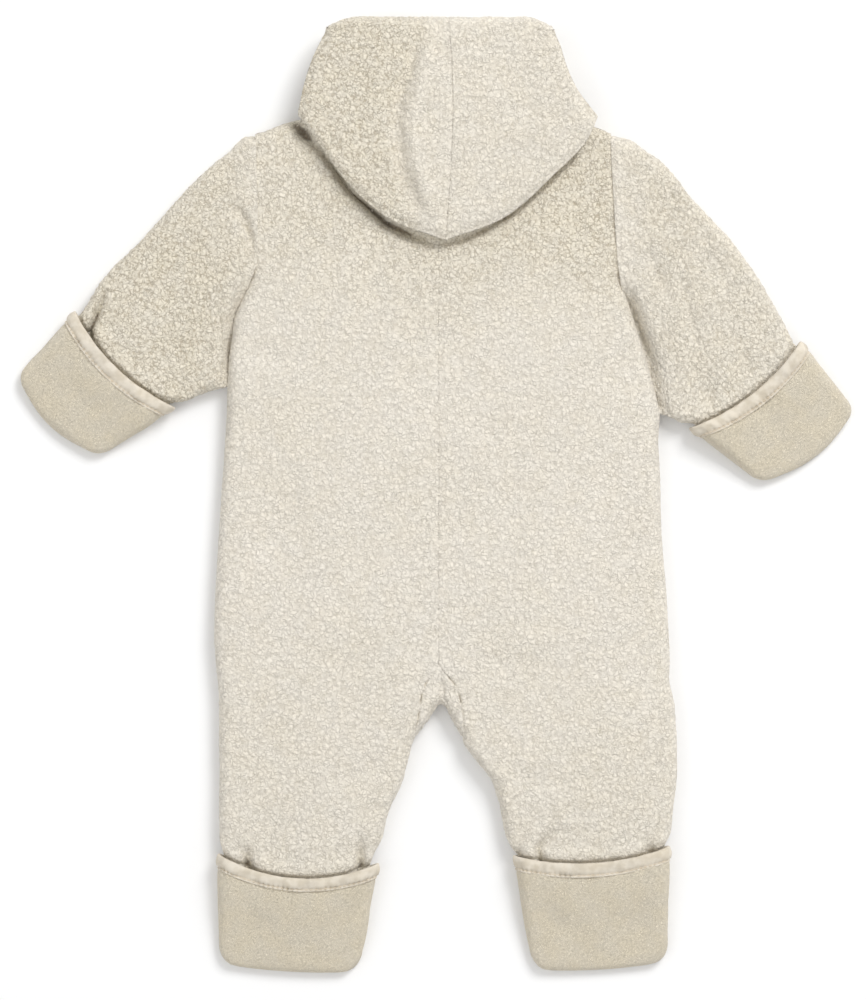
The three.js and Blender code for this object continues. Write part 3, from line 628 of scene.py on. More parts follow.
# %% Levels of the body
LEFT_ROWS = [
    (249, 1.25, -123.5), (232, 1.25, -123), (205, 1.25, -122.3), (180, 1.25, -122),
    (160, 1.25, -122), (151, 1.25, -125), (137, 1.25, -131.3), (122, 1.25, -137.6),
    (98, 1.25, -140.7), (76, 1.25, -142.2), (50, 1.25, -143), (15, 1.25, -145.5),
    (-25, 1.25, -148), (-65, 1.25, -150.3), (-98, 1.25, -151.2), (-116.7, 1, -150),
    (-125, -6.8, -149), (-135, -10, -148.4), (-148, -12, -148), (-158.5, -12.8, -148),
    (-166, -16, -148), (-180, -19.4, -148), (-196, -23.8, -148), (-214, -32.8, -148),
    (-234, -37.2, -147.5), (-246, -43.5, -143.8), (-257, -47, -143.6), (-268, -49.5, -143.4),
]
RIGHT_ROWS = [
    (249, 1.55, 118.5), (232, 1.55, 119), (205, 1.55, 120.5), (180, 1.55, 122),
    (158, 1.55, 123.5), (143, 1.55, 126), (128, 1.55, 131), (100, 1.55, 140.8),
    (74, 1.55, 148), (57, 1.55, 151.8), (38, 1.55, 150.5), (11, 1.55, 152),
    (-25, 1.55, 153), (-62, 1.55, 156), (-98, 1.55, 158.3), (-116.7, 1.8, 158.8),
    (-121, 7.4, 158), (-129, 13.2, 159), (-140, 16.2, 162), (-160.5, 17.6, 163.6),
    (-170, 18.4, 163.8), (-180, 26.5, 163.8), (-193, 37.8, 163.6), (-211, 43.6, 161),
    (-229, 46.6, 159), (-239.5, 50.4, 153.5), (-245, 57.3, 153.2), (-266, 60.5, 153),
]
SIDES = {   # fold: below it the side is folded; tip: foot of the gusset; drop: of the shoulder
    "left": dict(rows=LEFT_ROWS, sign=-1, armpit=76, fold=160, tip=-158.5, drop=0.0),
    "right": dict(rows=RIGHT_ROWS, sign=1, armpit=57, fold=158, tip=-160.5, drop=2.0),
}
SHOULDER_Y = 249.0
print("levels:", len(LEFT_ROWS), "left and", len(RIGHT_ROWS), "right")

# %% Creases of the back
BACK_CREASES = [
    dict(line=[(-101, 257), (-94, 250), (-84, 239)], depth=8.5, width=4.6),
    dict(line=[(-92, 249), (-79, 235), (-58, 206), (-34, 186), (-6, 173)], depth=7.5, width=2.2),
    dict(line=[(-52, 198), (-34, 184), (-16, 175), (4, 170)], depth=5, width=3.4),
    dict(line=[(-2, 171.5), (16, 173), (34, 182), (54, 194)], depth=4.5, width=2.2),
    dict(line=[(46, 188), (66, 204), (92, 230)], depth=3.0, width=1.8, held="whole"),
    dict(line=[(-128, -256), (-129, -248), (-131, -236)], depth=8, width=4.2, held="start"),
    dict(line=[(-51.5, -256), (-51.5, -246), (-53, -228)], depth=7, width=3.2, held="start"),
    dict(line=[(55, -249), (57, -236)], depth=6.5, width=3.2, held="start"),
    dict(line=[(71, -250), (69, -239), (78, -231), (90, -226)], depth=5.5, width=3.0, held="start"),
    dict(line=[(146, -244), (145, -232)], depth=5, width=4.5, held="start"),
    dict(line=[(-138, 112), (-118, 96), (-92, 88)], depth=1.4, width=9),
    dict(line=[(-140, 60), (-112, 74), (-80, 78)], depth=-1.0, width=12),
    dict(line=[(142, 92), (118, 84), (90, 84)], depth=1.1, width=10),
    dict(line=[(128, 150), (104, 140), (70, 146)], depth=1.2, width=9),
    dict(line=[(-20, -98), (-44, -112), (-80, -116)], depth=1.3, width=10),
    dict(line=[(22, -98), (46, -114), (84, -120)], depth=1.2, width=10),
    dict(line=[(-30, -176), (-58, -190), (-90, -192)], depth=1.2, width=9),
    dict(line=[(44, -186), (70, -196), (104, -190)], depth=1.3, width=9),
    dict(line=[(-120, 20), (-104, -40), (-108, -96)], depth=0.9, width=14),
    dict(line=[(116, 30), (124, -30), (120, -80)], depth=1.0, width=13),
    dict(line=[(40, 60), (52, 10), (46, -40)], depth=0.7, width=16),
    dict(line=[(-60, 40), (-48, -10), (-56, -60)], depth=0.6, width=15),
]
print("creases of the back:", len(BACK_CREASES))

# %% Neck and shoulder line
NECK_HALF, NECK_DIP, NECK_FOOT = 62.0, 15.0, 205
TIP_FALL, TIP_FROM, TIP_TO = 2.6, 98, 124     # the shoulder's tip rolls off a little more


def neck_shift(x, y, drop):
    """The neck is scooped at the centre, and the shoulder falls towards its tip."""
    reach = np.abs(x - CENTRE_X)
    scoop = NECK_DIP * (reach / NECK_HALF) ** 2
    slope = NECK_DIP - (NECK_DIP + drop) * (reach - NECK_HALF) / NECK_HALF
    slope = slope - TIP_FALL * smoothstep(reach, TIP_FROM, TIP_TO)
    return np.where(reach < NECK_HALF, scoop, slope) * smoothstep(y, NECK_FOOT, SHOULDER_Y)


print("the neck is scooped by", neck_shift(NECK_HALF + CENTRE_X, SHOULDER_Y, 0), "mm")

# %% One half of the back or front
BODY_STACK = 17.0           # front and back lying on each other
LAYER_GAP = 0.15            # half of what is left between them
SEAM_LAP = 0.25             # the halves reach that far into each other at their seam
ZIP_VALLEY = 6.35           # how far a front stops short of the middle beside the zip
VALLEY_FROM, VALLEY_TO = ZIP_BOTTOM - 14, ZIP_BOTTOM + 19
ROLLED_WIDTH, FLAT_WIDTH = 13, 122
FOLD_SLOPE = 24             # over that height a sewn side turns into a folded one
CROWN = 1.2                 # how much the back rises between centre seam and side
SHOULDER_ROLL = 9


def body_grid(side, is_back, step):
    """Smooth outer face of a body half, before its pile.

    f runs from 0 to 1 and back over the two rolled edges, and place over the flat part.
    The second result is 1 where an edge stands square, sewn to a neighbour.
    """
    rows, tip, fold = SIDES[side]["rows"], SIDES[side]["tip"], SIDES[side]["fold"]
    bottom = rows[-1][0]
    y = np.linspace(SHOULDER_Y, bottom, count(SHOULDER_Y - bottom, step))
    inner = edge_profile(rows, 1, y) - SIDES[side]["sign"] * SEAM_LAP
    outer = edge_profile(rows, 2, y)
    if not is_back:
        inner = inner + SIDES[side]["sign"] * ZIP_VALLEY * smoothstep(y, VALLEY_FROM, VALLEY_TO)
    turned = count(ROLLED_WIDTH, step) - 1
    flat = count(FLAT_WIDTH, step) - 1
    rolled = np.linspace(0, 1, turned + 1)
    f = np.concatenate([rolled[:-1], np.ones(flat), np.linspace(1, 0, turned + 1)])
    place = np.concatenate([np.zeros(turned), np.linspace(0, 1, flat + 1), np.ones(turned)])
    from_inner = np.arange(len(f)) < turned
    f, place, from_inner = f[None, :], place[None, :], from_inner[None, :]
    inner, outer, level = inner[:, None], outer[:, None], y[:, None]
    curl_in = smoothstep(-level, -tip - 5, -tip + 3)
    curl_out = 1 - smoothstep(level, fold - FOLD_SLOPE, fold)
    amount = np.where(from_inner, curl_in, np.where(place >= 1, curl_out, 0))
    middle = (inner + outer) / 2 + 0 * place
    stack, _ = tucked(middle, level + 0 * place, f"bootie_{side}", BODY_STACK)
    radius = stack / 2 - LAYER_GAP
    width = np.abs(outer - inner)
    angle = f * np.pi / 2
    inwards = lerp(radius * f, radius * (1 - np.cos(angle)), amount)
    across = np.where(place <= 0, inwards, np.where(place >= 1, width - inwards, 0))
    between = (place > 0) & (place < 1)
    across = np.where(between, lerp(radius, width - radius, place), across)
    x = inner + np.sign(outer - inner) * across
    x, level = np.broadcast_arrays(x, level)
    stack, lift = tucked(x, level, f"bootie_{side}", BODY_STACK)
    fall = np.where(between, 0, amount * (stack / 2 - LAYER_GAP) * (1 - np.sin(angle)))
    moved = level + neck_shift(x, level, SIDES[side]["drop"])
    if is_back:
        crown = CROWN * np.sin(np.pi * np.clip(across / width, 0, 1))
        crown = crown * (1 - smoothstep(level, 110, 175)) * smoothstep(level, -235, -200)
        z = lift + stack - fall + crown * (1 - fall / stack) - sink(x, moved, BACK_CREASES)
        z = z - at_opening(POCKET[f"bootie_{side}"].depth_at(x, moved))
    else:
        z = lift + fall
    shoulder = smoothstep(np.abs(x - CENTRE_X), NECK_HALF - 10, NECK_HALF)
    down = np.clip((SHOULDER_Y - level) / SHOULDER_ROLL, 0, 1)
    closed = BODY_STACK / 2 + (LAYER_GAP if is_back else -LAYER_GAP)
    z = closed + (z - closed) * lerp(1, np.sqrt(1 - (1 - down) ** 2), shoulder)
    return np.stack([x, moved, z], axis=-1), 1 - amount + 0 * x


print("a coarse back has", body_grid("left", True, 10)[0].shape[:2], "rows and columns")

# %% [markdown]
# ## Putting the pile on
# Along a sewn edge the pile is caught in the seam, so the curls are lower there and the
# cloth dips. That draws the seams, and at the gusset painted shade darkens them too. Now
# and then a tuft lies across a seam and hides it, so a seam is never one even line. A row
# of topstitching a few millimetres beside an armhole presses the pile down in the same way.

# %% Pile on a smooth grid
ROUND_EDGE = 0.8        # way along a rolled edge for each millimetre that it goes down
WAVE, WAVE_OVER = 0.45, 47
RIPPLE, RIPPLE_OVER = 0.2, 21
# Crease depths over which the pile's colour turns to painted crease shade.
SHADE_DEPTHS = (2.6, 7.5)       # from here to here a crease's bottom lies in the dark


def on_the_cloth(grid, along=(0.0, 1.0), up=1):
    """Each point's own place on the flat cloth in mm: over a rolled edge it keeps growing."""
    along = np.asarray(along) / np.hypot(*along)
    across = grid[..., :2] @ np.array([along[1], -along[0]])
    level = up * grid[..., 2]
    crest = level.max(axis=1, keepdims=True)
    side = np.sign(across - across.mean(axis=1, keepdims=True))
    down = grid[..., :2] @ along + ROUND_EDGE * (level.max() - crest)
    return across + side * ROUND_EDGE * (crest - level), down


def grow_pile(grid, wraps=False, calm=0, dip=0, seed=0, along=(0.0, 1.0), up=1, painted_shade_depth=0, full=1):
    """Moves the face out along its normals by the tufts, full of their height or less.

    Where calm nears 1 they lie flat, and dip sinks the cloth itself. The mark that comes
    back too is 1 on a tuft and 0 in a gap, and below 0 deep in a crease; the pile's
    material paints shade by it.
    """
    across, down = on_the_cloth(grid, along, up)
    height, mark = tufts(across, down, seed)
    slow = (WAVE * drift(across, down, WAVE_OVER, seed + 31)
            + RIPPLE * drift(across, down, RIPPLE_OVER, seed + 32))
    height = full * height * (1 - calm) + slow - dip
    mark = lerp(mark, 1, calm * 0.5)
    mark = lerp(mark, -1, 0.85 * smoothstep(painted_shade_depth, *SHADE_DEPTHS))
    return grid + grid_normals(grid, wraps) * height[..., None], mark


flat_patch = np.stack(np.meshgrid(walk[:40], walk[:40]) + [np.zeros((40, 40))], axis=-1)
print("flat cloth grows to", grow_pile(flat_patch)[0][..., 2].max().round(2), "mm")

# %% Edges and seams


def turned_out(arrays, wraps=False, up=0):
    """Arrays of one grid with their columns in the order that turns its normals outwards."""
    grid = arrays[0]
    away = np.array([0, 0, up]) if up else grid - grid.mean(axis=1, keepdims=True)
    if (grid_normals(grid, wraps) * away).sum() > 0:
        return arrays
    return [np.roll(a[:, ::-1], 1, axis=1) if wraps else a[:, ::-1] for a in arrays]


def from_edges(grid):
    """Distance in mm of each point from the first and the last column, along the cloth."""
    steps = np.linalg.norm(np.diff(grid, axis=1), axis=-1)
    first = np.concatenate([np.zeros((len(grid), 1)), np.cumsum(steps, axis=1)], axis=1)
    return first, first[:, -1:] - first


BRIDGED_OVER, BRIDGE_OPEN = 5.5, 0.15


def bridged(along, seed):
    """How open a seam is at each place along it: now and then a tuft lies across it."""
    ajar = smoothstep(drift(along, 0 * along, BRIDGED_OVER, seed), -0.45, 0.5)
    return lerp(BRIDGE_OPEN, 1.0, ajar)


print("a seam is open by", bridged(walk[:30:6], 61).round(2))

# %% Finishing a cloth


def finish_cloth(piece, node, base, wraps, share=1.0):
    """Rides the piece, lets it stand for its node, and prints its flat cut.

    The cut is measured on the smooth base; share is the part of a tube's way round.
    """
    closed = np.concatenate([base, base[:, :1]], axis=1) if wraps else base
    down = np.linalg.norm(np.diff(closed, axis=0), axis=-1).sum(axis=0)
    across = np.linalg.norm(np.diff(closed, axis=1), axis=-1).sum(axis=1)
    edge_a = closed[1:, :-1] - closed[:-1, :-1]
    edge_b = closed[:-1, 1:] - closed[:-1, :-1]
    area = np.linalg.norm(np.cross(edge_a, edge_b), axis=-1).sum()
    width, length = across.max() * share, down.max()
    area = min(area * share, width * length)
    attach(piece, "garment")
    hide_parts(node)
    faces = sum(len(p.vertices) - 2 for p in piece.data.polygons)
    print(f"{piece.name}: cut {width:.0f} x {length:.0f} mm, {area / 100:.0f} cm2, {faces} triangles")


# %% [markdown]
# ## The two backs
# They meet in the centre back seam. Below the armhole each one's side is only folded
# round to the front, so the edge is a soft roll. Above it the sleeve is sewn on, and a
# row of topstitching holds the seam allowance down beside the armhole.

# %% Painted shade where the nap lies away from the light


def body_nap_shade(x, y):
    """Painted shade where the nap is turned from the light: more at the shoulders, most at the right one,
    and down the legs.
    """
    shoulders = lerp(0.52, 0.76, smoothstep(x, -60, 60)) * smoothstep(y, 90, 200)
    legs = 0.15 * (1 - smoothstep(y, -235, -130))
    return np.clip(0.08 + shoulders + legs + 0.12 * drift(x, y, 55, 77), 0, 1)


print("nap at the left and right shoulder:", body_nap_shade(np.array([-80, 80]), np.array([230, 230])).round(2))

# %% Sew the backs
BACK_STEP = 0.95                        # a point about every millimetre
CLOTH_WALL = 4.0                        # ground and brushed inside, under the curls
TOPSTITCH_AT, TOPSTITCH_WIDE = 6.5, 1.1
TOPSTITCH = {"left": 0.45, "right": 0.2}
GUSSET_TOP, GUSSET_FOOT = (122, 130), (158, 166)   # how far down the gusset's seams begin and end


def body_panel(name, side, is_back, step):
    """A back or front half with its pile, closed and finished."""
    grid, square = body_grid(side, is_back, step)
    grid, square = turned_out([grid, square], up=1 if is_back else -1)
    first, last = from_edges(grid)
    centre, side_edge = (first, last) if abs(grid[0, 0, 0]) < abs(grid[0, -1, 0]) else (last, first)
    armhole = seam(side_edge) * square
    stitched = TOPSTITCH[side] * seam(side_edge - TOPSTITCH_AT, TOPSTITCH_WIDE) * square
    caught = np.maximum(seam(centre, 1.3), np.maximum(armhole, seam(side_edge)))
    x, y = grid[..., 0], grid[..., 1]
    at_gusset = smoothstep(-y, *GUSSET_TOP) * (1 - smoothstep(-y, *GUSSET_FOOT)) * is_back
    dip = ((0.3 + 2.0 * at_gusset) * seam(centre, 1.3) * bridged(y, 61)
           + 0.15 * armhole + stitched * bridged(y, 62))
    # Deep creases of the back and its centre seam at the gusset get painted crease shade.
    painted_shade_depth = (sink(x, y, BACK_CREASES) * is_back
            + 8 * at_gusset * seam(centre, 1.2) * bridged(y, 61))
    outer, mark = grow_pile(grid, calm=0.4 * caught + 0.3 * stitched, dip=dip, seed=100,
                            up=1 if is_back else -1, painted_shade_depth=painted_shade_depth, full=0.8)
    inner = inside_of(grid, False, CLOTH_WALL)
    piece = cloth(name, outer, inner, painted_shade_mark=mark, painted_nap_shade=body_nap_shade(x, y))
    finish_cloth(piece, name, grid, False)
    return piece


pile_pieces = [body_panel(f"back_{side}", side, True, BACK_STEP) for side in SIDES]

# %% [markdown]
# ## The two fronts
# They lie underneath, so their cloth only needs to be as fine as an underside is looked
# at. Their inner edges stop short of the middle to leave a valley for the zip.

# %% Sew the fronts
FRONT_STEP = 1.8
pile_pieces += [body_panel(f"front_{side}", side, False, FRONT_STEP) for side in SIDES]

# %% [markdown]
# ## Crotch gusset
# A short curved strip over the crotch gives room for the legs. It is sewn to both backs
# along an arch, rolls over the crotch edge and meets the fronts underneath. Its two ends
# are tucked down between the legs' layers, and one small fold drops from the top of its
# arch. Each row below is a point on the back's seam and the point on the edge beside it.

# %% Shape of the gusset
GUSSET_ROWS = [
    (-17.5, -163, -14.8, -164.5), (-12.2, -150, -5.2, -152), (-9.4, -135, -0.6, -145),
    (-6.1, -125.3, 1.2, -142.6), (1.3, -112.5, 3, -141.8), (6.8, -121.6, 4.8, -142.6),
    (12.6, -129.4, 6.6, -145), (16.4, -143, 10, -152), (22, -165, 19.4, -167),
]
GUSSET_FOLD = dict(line=[(3, -123), (3.6, -132), (3, -142)], depth=2.2, width=2.2)
ARCH_LENGTH, GIRTH = 110, 48        # along the arch, and from seam over the edge to seam
GUSSET_LAP = 0.9                    # it reaches that far under the backs
FLAT_SHARE = 0.25                   # of its girth, on each side of the rolled edge
END_TUCK = 0.5                      # how much flatter its ends are
GUSSET_WALL = 2.5


def gusset_grid(step):
    """Rows run round the arch, columns from the back's seam over the edge to the front's."""
    t = np.linspace(0, 1, count(ARCH_LENGTH, step))
    places = through(GUSSET_ROWS, t)
    seam_point, edge_point = places[:, None, :2], places[:, None, 2:]
    seam_point = seam_point + (seam_point - edge_point) * GUSSET_LAP / np.linalg.norm(
        seam_point - edge_point, axis=-1, keepdims=True)
    reach = np.linalg.norm(edge_point - seam_point, axis=-1)
    radius = BODY_STACK / 2
    turn = np.minimum(radius, reach * 0.9)
    u = np.linspace(0, 1, count(GIRTH, step))[None, :]
    bend = np.clip((u - FLAT_SHARE) / (1 - 2 * FLAT_SHARE), 0, 1) * np.pi
    flat = np.minimum(u, 1 - u) / FLAT_SHARE
    rounded = reach - turn + turn * np.sin(bend)
    along = np.where(flat < 1, (reach - turn) * flat, rounded)
    rise = np.where(flat < 1, np.sign(0.5 - u), np.cos(bend))
    plan = lerp(seam_point, edge_point, (along / reach)[..., None])
    tucked_end = smoothstep(np.abs(t - 0.5), 0.34, 0.5)[:, None]
    z = radius + radius * (1 - END_TUCK * tucked_end) * rise
    z = z - sink(plan[..., 0], plan[..., 1], [GUSSET_FOLD]) * (rise > 0)
    return np.concatenate([plan, z[..., None]], axis=-1)


print("a coarse gusset has", gusset_grid(5).shape[:2], "rows and columns")

# %% Sew the gusset
base, = turned_out([gusset_grid(1.0)])
first, last = from_edges(base)
sewn = seam(np.minimum(first, last), 1.3) * bridged(base[..., 1], 61)
# The gusset's seams on top get painted crease shade.
outer, mark = grow_pile(base, calm=0.5 * sewn, dip=1.7 * sewn, seed=300,
                        painted_shade_depth=7 * sewn * (base[..., 2] > 12))
gusset = cloth("crotch_gusset", outer, base - grid_normals(base, False) * GUSSET_WALL, painted_shade_mark=mark)
finish_cloth(gusset, "crotch_gusset", base, False)
pile_pieces.append(gusset)

# %% [markdown]
# ## Flattened tubes
# Sleeves, mitts, booties and bindings are all tubes pressed flat. One ring of such a tube
# has a rounded side, a flat top, another rounded side and a flat underside.

# %% A ring of a flattened tube


class Ring:
    """Where the columns of a flattened tube lie in its section."""

    def __init__(self, flat_width, radius, step):
        turned = max(2, round(radius * np.pi / 2 / step / 2)) * 2
        flat = max(1, round(flat_width / step / 4)) * 4
        bend = np.linspace(0, np.pi / 2, turned + 1)
        side = np.concatenate([-np.ones(turned), np.linspace(-1, 1, flat + 1), np.ones(turned)])
        angle = np.concatenate([bend[:-1], np.full(flat + 1, np.pi / 2), bend[:-1][::-1]])
        self.side = np.concatenate([side, side[1:-1][::-1]])[None, :]
        self.angle = np.concatenate([angle, angle[1:-1][::-1]])[None, :]
        top = np.ones(len(side))
        self.over = np.concatenate([top, -top[1:-1]])[None, :]
        self.rise = np.sin(self.angle) * self.over

    def across(self, width, radius):
        """Place of each column across the tube, 0 to 1, for rings of that width and radius."""
        flat = width - 2 * radius
        reach = self.side * flat / 2 + np.sign(self.side) * radius * np.cos(self.angle)
        return 0.5 + reach / width


print("points round a flattened tube:", Ring(110, 8, 1).side.size)

# %% [markdown]
# ## Sleeves
# Each sleeve is a patch between two side edges, the armhole and the cuff. It is thick
# and round along the arm and squeezed where it goes into the mitt. The underarm seam
# runs along its lower edge. Where the arm bends, deep creases run up from the mitt. The
# nap is combed the other way here, so it catches less light, which is painted as shade.

# %% Sleeve edges and creases
# Each sleeve's nap value is how much painted shade it takes where its nap turns from the light.
SLEEVES = {
    "left": dict(
        mitt="mitt_left", seed=400, painted_nap_shade=0.7,
        upper=[(-130.6, 243.9), (-141.4, 234.3), (-149.2, 227.8), (-177, 200), (-201.5, 173),
               (-228, 146)],
        lower=[(-160, 69.5), (-170, 65)]),
    "right": dict(
        mitt="mitt_right", seed=500, painted_nap_shade=0.42,
        upper=[(132.5, 241.5), (144, 233.5), (152.5, 227.6), (175.5, 200.5), (200.8, 173),
               (219.8, 146), (234.5, 121)],
        lower=[(158, 54), (164, 50.5)]),
}
SLEEVE_CREASES = {
    "left": [
        dict(line=[(-237, 109), (-232, 120), (-228, 131), (-223, 145)], depth=8, width=2.3,
             held="start"),
        dict(line=[(-239, 107), (-235, 113)], depth=9, width=3.8, held="start"),
        dict(line=[(-140, 198), (-131, 189), (-126.5, 176), (-126, 160)], depth=4.2, width=3.2),
        dict(line=[(-141, 112), (-140, 100), (-143, 88)], depth=3.5, width=4),
        dict(line=[(-158, 190), (-178, 150), (-184, 116)], depth=1.3, width=10),
        dict(line=[(-206, 118), (-196, 134), (-180, 142)], depth=1.4, width=7),
        dict(line=[(-190, 84), (-178, 100), (-160, 106)], depth=1.7, width=6),
        dict(line=[(-150, 128), (-158, 108), (-154, 88)], depth=1.5, width=7),
    ],
    "right": [
        dict(line=[(129, 142), (136, 122), (145, 97), (152, 74)], depth=5.5, width=4.2),
        dict(line=[(143, 168), (149, 152), (159, 130)], depth=2.3, width=3.6),
        dict(line=[(166, 152), (172, 124), (178, 92)], depth=2.3, width=3.8),
        dict(line=[(243, 98), (238, 112), (233, 127)], depth=3.8, width=4, held="start"),
        dict(line=[(212, 84), (208, 100), (198, 112)], depth=2.2, width=6, held="start"),
        dict(line=[(168, 188), (190, 152), (206, 126)], depth=1.2, width=10),
        dict(line=[(186, 64), (182, 80), (170, 92)], depth=2.0, width=6, held="start"),
    ],
}
print("creases of the sleeves:", {side: len(lines) for side, lines in SLEEVE_CREASES.items()})

# %% A patch between four curves


def patch(along0, along1, across0, across1, s, t):
    """Points of a four-sided patch at (s, t) between two curves along it and two across it."""
    corner = [across0(np.zeros(1)), across0(np.ones(1)), across1(np.zeros(1)), across1(np.ones(1))]
    s3, t3 = s[..., None], t[..., None]
    return (lerp(along0(t), along1(t), s3) + lerp(across0(s), across1(s), t3)
            - lerp(lerp(corner[0], corner[1], s3), lerp(corner[2], corner[3], s3), t3))


# %% Shape of a sleeve
SLEEVE_STACK, SLEEVE_WIDTH = 16.0, 110
TUCK_DEPTH = 13.0                   # how far the sleeve goes into the mitt
CUFF_INSET, MOUTH_INSET = 3.5, 4.2  # it keeps that far off the mitt's sides
SET_IN = 0.7                        # how far it reaches under the back at the armhole
MEAN_LENGTH = 0.82                  # a sleeve's middle is that much shorter than its upper edge
VALLEY, VALLEY_REACH = 8.0, 7.5     # below the fold it dives under the back's rolled side
SHOULDER_LIFT, LIFT_REACH = 0.9, 22


def sleeve_grid(side, step):
    """Smooth outer face of a sleeve, and which way each point looks, down -1 to up 1."""
    shape, body = SLEEVES[side], SIDES[side]
    pocket = POCKET[shape["mitt"]]

    def armhole(s):
        y = lerp(SHOULDER_Y - 1.2, body["armpit"] - 1, s)
        table = np.asarray(body["rows"], float)[::-1]
        x = np.interp(y, table[:, 0], table[:, 2])
        folded = 1 - smoothstep(y, body["fold"] - 30, body["fold"])
        x = x - body["sign"] * (SET_IN + SET_IN * folded)
        return np.stack([x, y + neck_shift(x, y, body["drop"])], axis=-1)

    def cuff(s):
        return pocket.place(s, np.full(s.shape, TUCK_DEPTH), CUFF_INSET)

    def mouth(s):
        return pocket.place(s, np.zeros(s.shape), MOUTH_INSET)

    def point(curve, s):
        return tuple(curve(np.array([s]))[0])

    def sleeve(s, t):
        return patch(lambda v: through(upper, v), lambda v: through(lower, v), armhole, cuff, s, t)

    upper = [point(armhole, 0.0), *shape["upper"], point(mouth, 0.0), point(cuff, 0.0)]
    lower = [point(armhole, 1.0), *shape["lower"], point(mouth, 1.0), point(cuff, 1.0)]
    length = np.hypot(*np.diff(np.array(upper), axis=0).T).sum()
    t = np.linspace(0, 1, count(length * MEAN_LENGTH, step))[:, None]
    high, middle, low = [sleeve(np.full(t.shape, s), t) for s in (0.0, 0.5, 1.0)]
    stack, _ = tucked(middle[..., 0], middle[..., 1], shape["mitt"], SLEEVE_STACK)
    ring = Ring(SLEEVE_WIDTH, SLEEVE_STACK / 2, step)
    s = np.clip(ring.across(np.linalg.norm(low - high, axis=-1), stack / 2), 0, 1)
    plan = sleeve(s, t + 0 * s)
    x, y = plan[..., 0], plan[..., 1]
    stack, lift = tucked(x, y, shape["mitt"], SLEEVE_STACK)
    z = lift + stack / 2 + stack / 2 * ring.rise
    start = sleeve(s, np.zeros(s.shape))
    under_body = 1 - smoothstep(start[..., 1], body["fold"] - 34, body["fold"] - 6)
    from_body = np.hypot(x - start[..., 0], y - start[..., 1])
    valley = VALLEY * under_body * seam(from_body, VALLEY_REACH)
    lifted = BODY_STACK - SLEEVE_STACK + SHOULDER_LIFT
    valley = valley - lifted * (1 - under_body) * seam(from_body, LIFT_REACH)
    sunk = sink(x, y, SLEEVE_CREASES[side]) + at_opening(pocket.depth_at(x, y)) + valley
    z = z - sunk * np.clip(ring.rise, 0, 1) ** 2
    return np.stack([x, y, z], axis=-1), ring.rise + 0 * x


print("a coarse sleeve has", sleeve_grid("left", 10)[0].shape[:2], "rows and columns")

# %% Sew the sleeves
SLEEVE_STEP = 0.98
for side in SIDES:
    base, rise = turned_out(sleeve_grid(side, SLEEVE_STEP), wraps=True)
    x, y = base[..., 0], base[..., 1]
    from_armhole = np.linalg.norm(base - base[:1], axis=-1)
    underarm = np.abs(np.arange(base.shape[1]) - base.shape[1] // 2)[None, :] * SLEEVE_STEP
    caught = np.maximum(seam(from_armhole), seam(underarm, 1.3))
    # Deep creases of the sleeve get painted crease shade.
    outer, mark = grow_pile(base, True, calm=0.4 * caught, dip=0.15 * caught,
                            seed=SLEEVES[side]["seed"], full=1.25,
                            along=base[-1, :, :2].mean(axis=0) - base[0, :, :2].mean(axis=0),
                            painted_shade_depth=sink(x, y, SLEEVE_CREASES[side]) * (rise > 0.3))
    inner = inside_of(base, True, CLOTH_WALL)
    # Painted shade where the sleeve's nap turns from the light, growing away from the armhole.
    turned = SLEEVES[side]["painted_nap_shade"] * smoothstep(from_armhole, -30, 45)
    painted_nap_shade = np.clip(turned + 0.1 * drift(x, y, 40, 78), 0, 1)
    sleeve = cloth(f"sleeve_{side}", outer, inner, wraps=True, painted_shade_mark=mark, painted_nap_shade=painted_nap_shade)
    finish_cloth(sleeve, f"sleeve_{side}", base, True)
    pile_pieces.append(sleeve)

# %% [markdown]
# ## Hood
# The hood lies folded back over the shoulders. What shows is its upper layer, in two
# halves with a centre seam. It comes up round the fold at the top and runs down to the
# hood's open edge. One long soft crease lies beside the seam, and left of it the nap is
# turned from the light, which is painted as shade.

# %% Hood outline and crease
HOOD_SEAM = [(8, 325), (11, 275), (9.5, 220), (6, 173)]
HOOD_HALVES = {
    "left": dict(fold=[(7.85, 325), (-40, 325), (-62, 324), (-72, 319.5)],
                 side=[(-72, 319.5), (-78.5, 308), (-84, 296), (-89, 281), (-94, 258.5)],
                 edge=[(5.85, 173), (-33, 188), (-57, 208), (-79, 237.5), (-94, 258.5)]),
    "right": dict(fold=[(8.15, 325), (45, 325), (66, 324), (77.5, 318.5)],
                  side=[(77.5, 318.5), (83.5, 305), (88, 291), (95, 276), (109, 257)],
                  edge=[(6.15, 173), (46, 188.5), (80, 218), (103, 243), (109, 257)]),
}
HOOD_CREASES = [
    dict(line=[(-7, 324), (-16, 300), (-24, 274), (-28, 250), (-24, 222), (-15, 196)],
         depth=3.4, width=5.0, held="whole"),
    dict(line=[(3, 324), (-6, 300), (-14, 274), (-17.5, 249), (-13, 222), (-4, 196)],
         depth=-2.6, width=5.5, held="whole"),
    dict(line=[(-50, 300), (-58, 270), (-52, 240)], depth=1.0, width=12),
    dict(line=[(50, 306), (62, 276), (56, 246)], depth=1.1, width=12),
    dict(line=[(30, 214), (52, 232), (80, 240)], depth=0.8, width=9),
]
print("creases of the hood:", len(HOOD_CREASES))

# %% Shape of a hood half
HOOD_FOLD, HOOD_TOP, HOOD_BASE = 10.0, 30.2, 1.5    # depth of the fold, its top and its foot
HOOD_REACH = 148                                    # from the fold down to the open edge
ROUND_FOLD, HALF_HOOD = 38, 88                      # cloth round the fold, and across one half
SEAM_GAP = 0.06
SETTLE, EDGE_ROUND, FLANK_ROUND = 1.6, 2.6, 2.6     # it lies lower there by so much
FLANK_TUCK = 8                                      # the fold's foot draws in at the flank


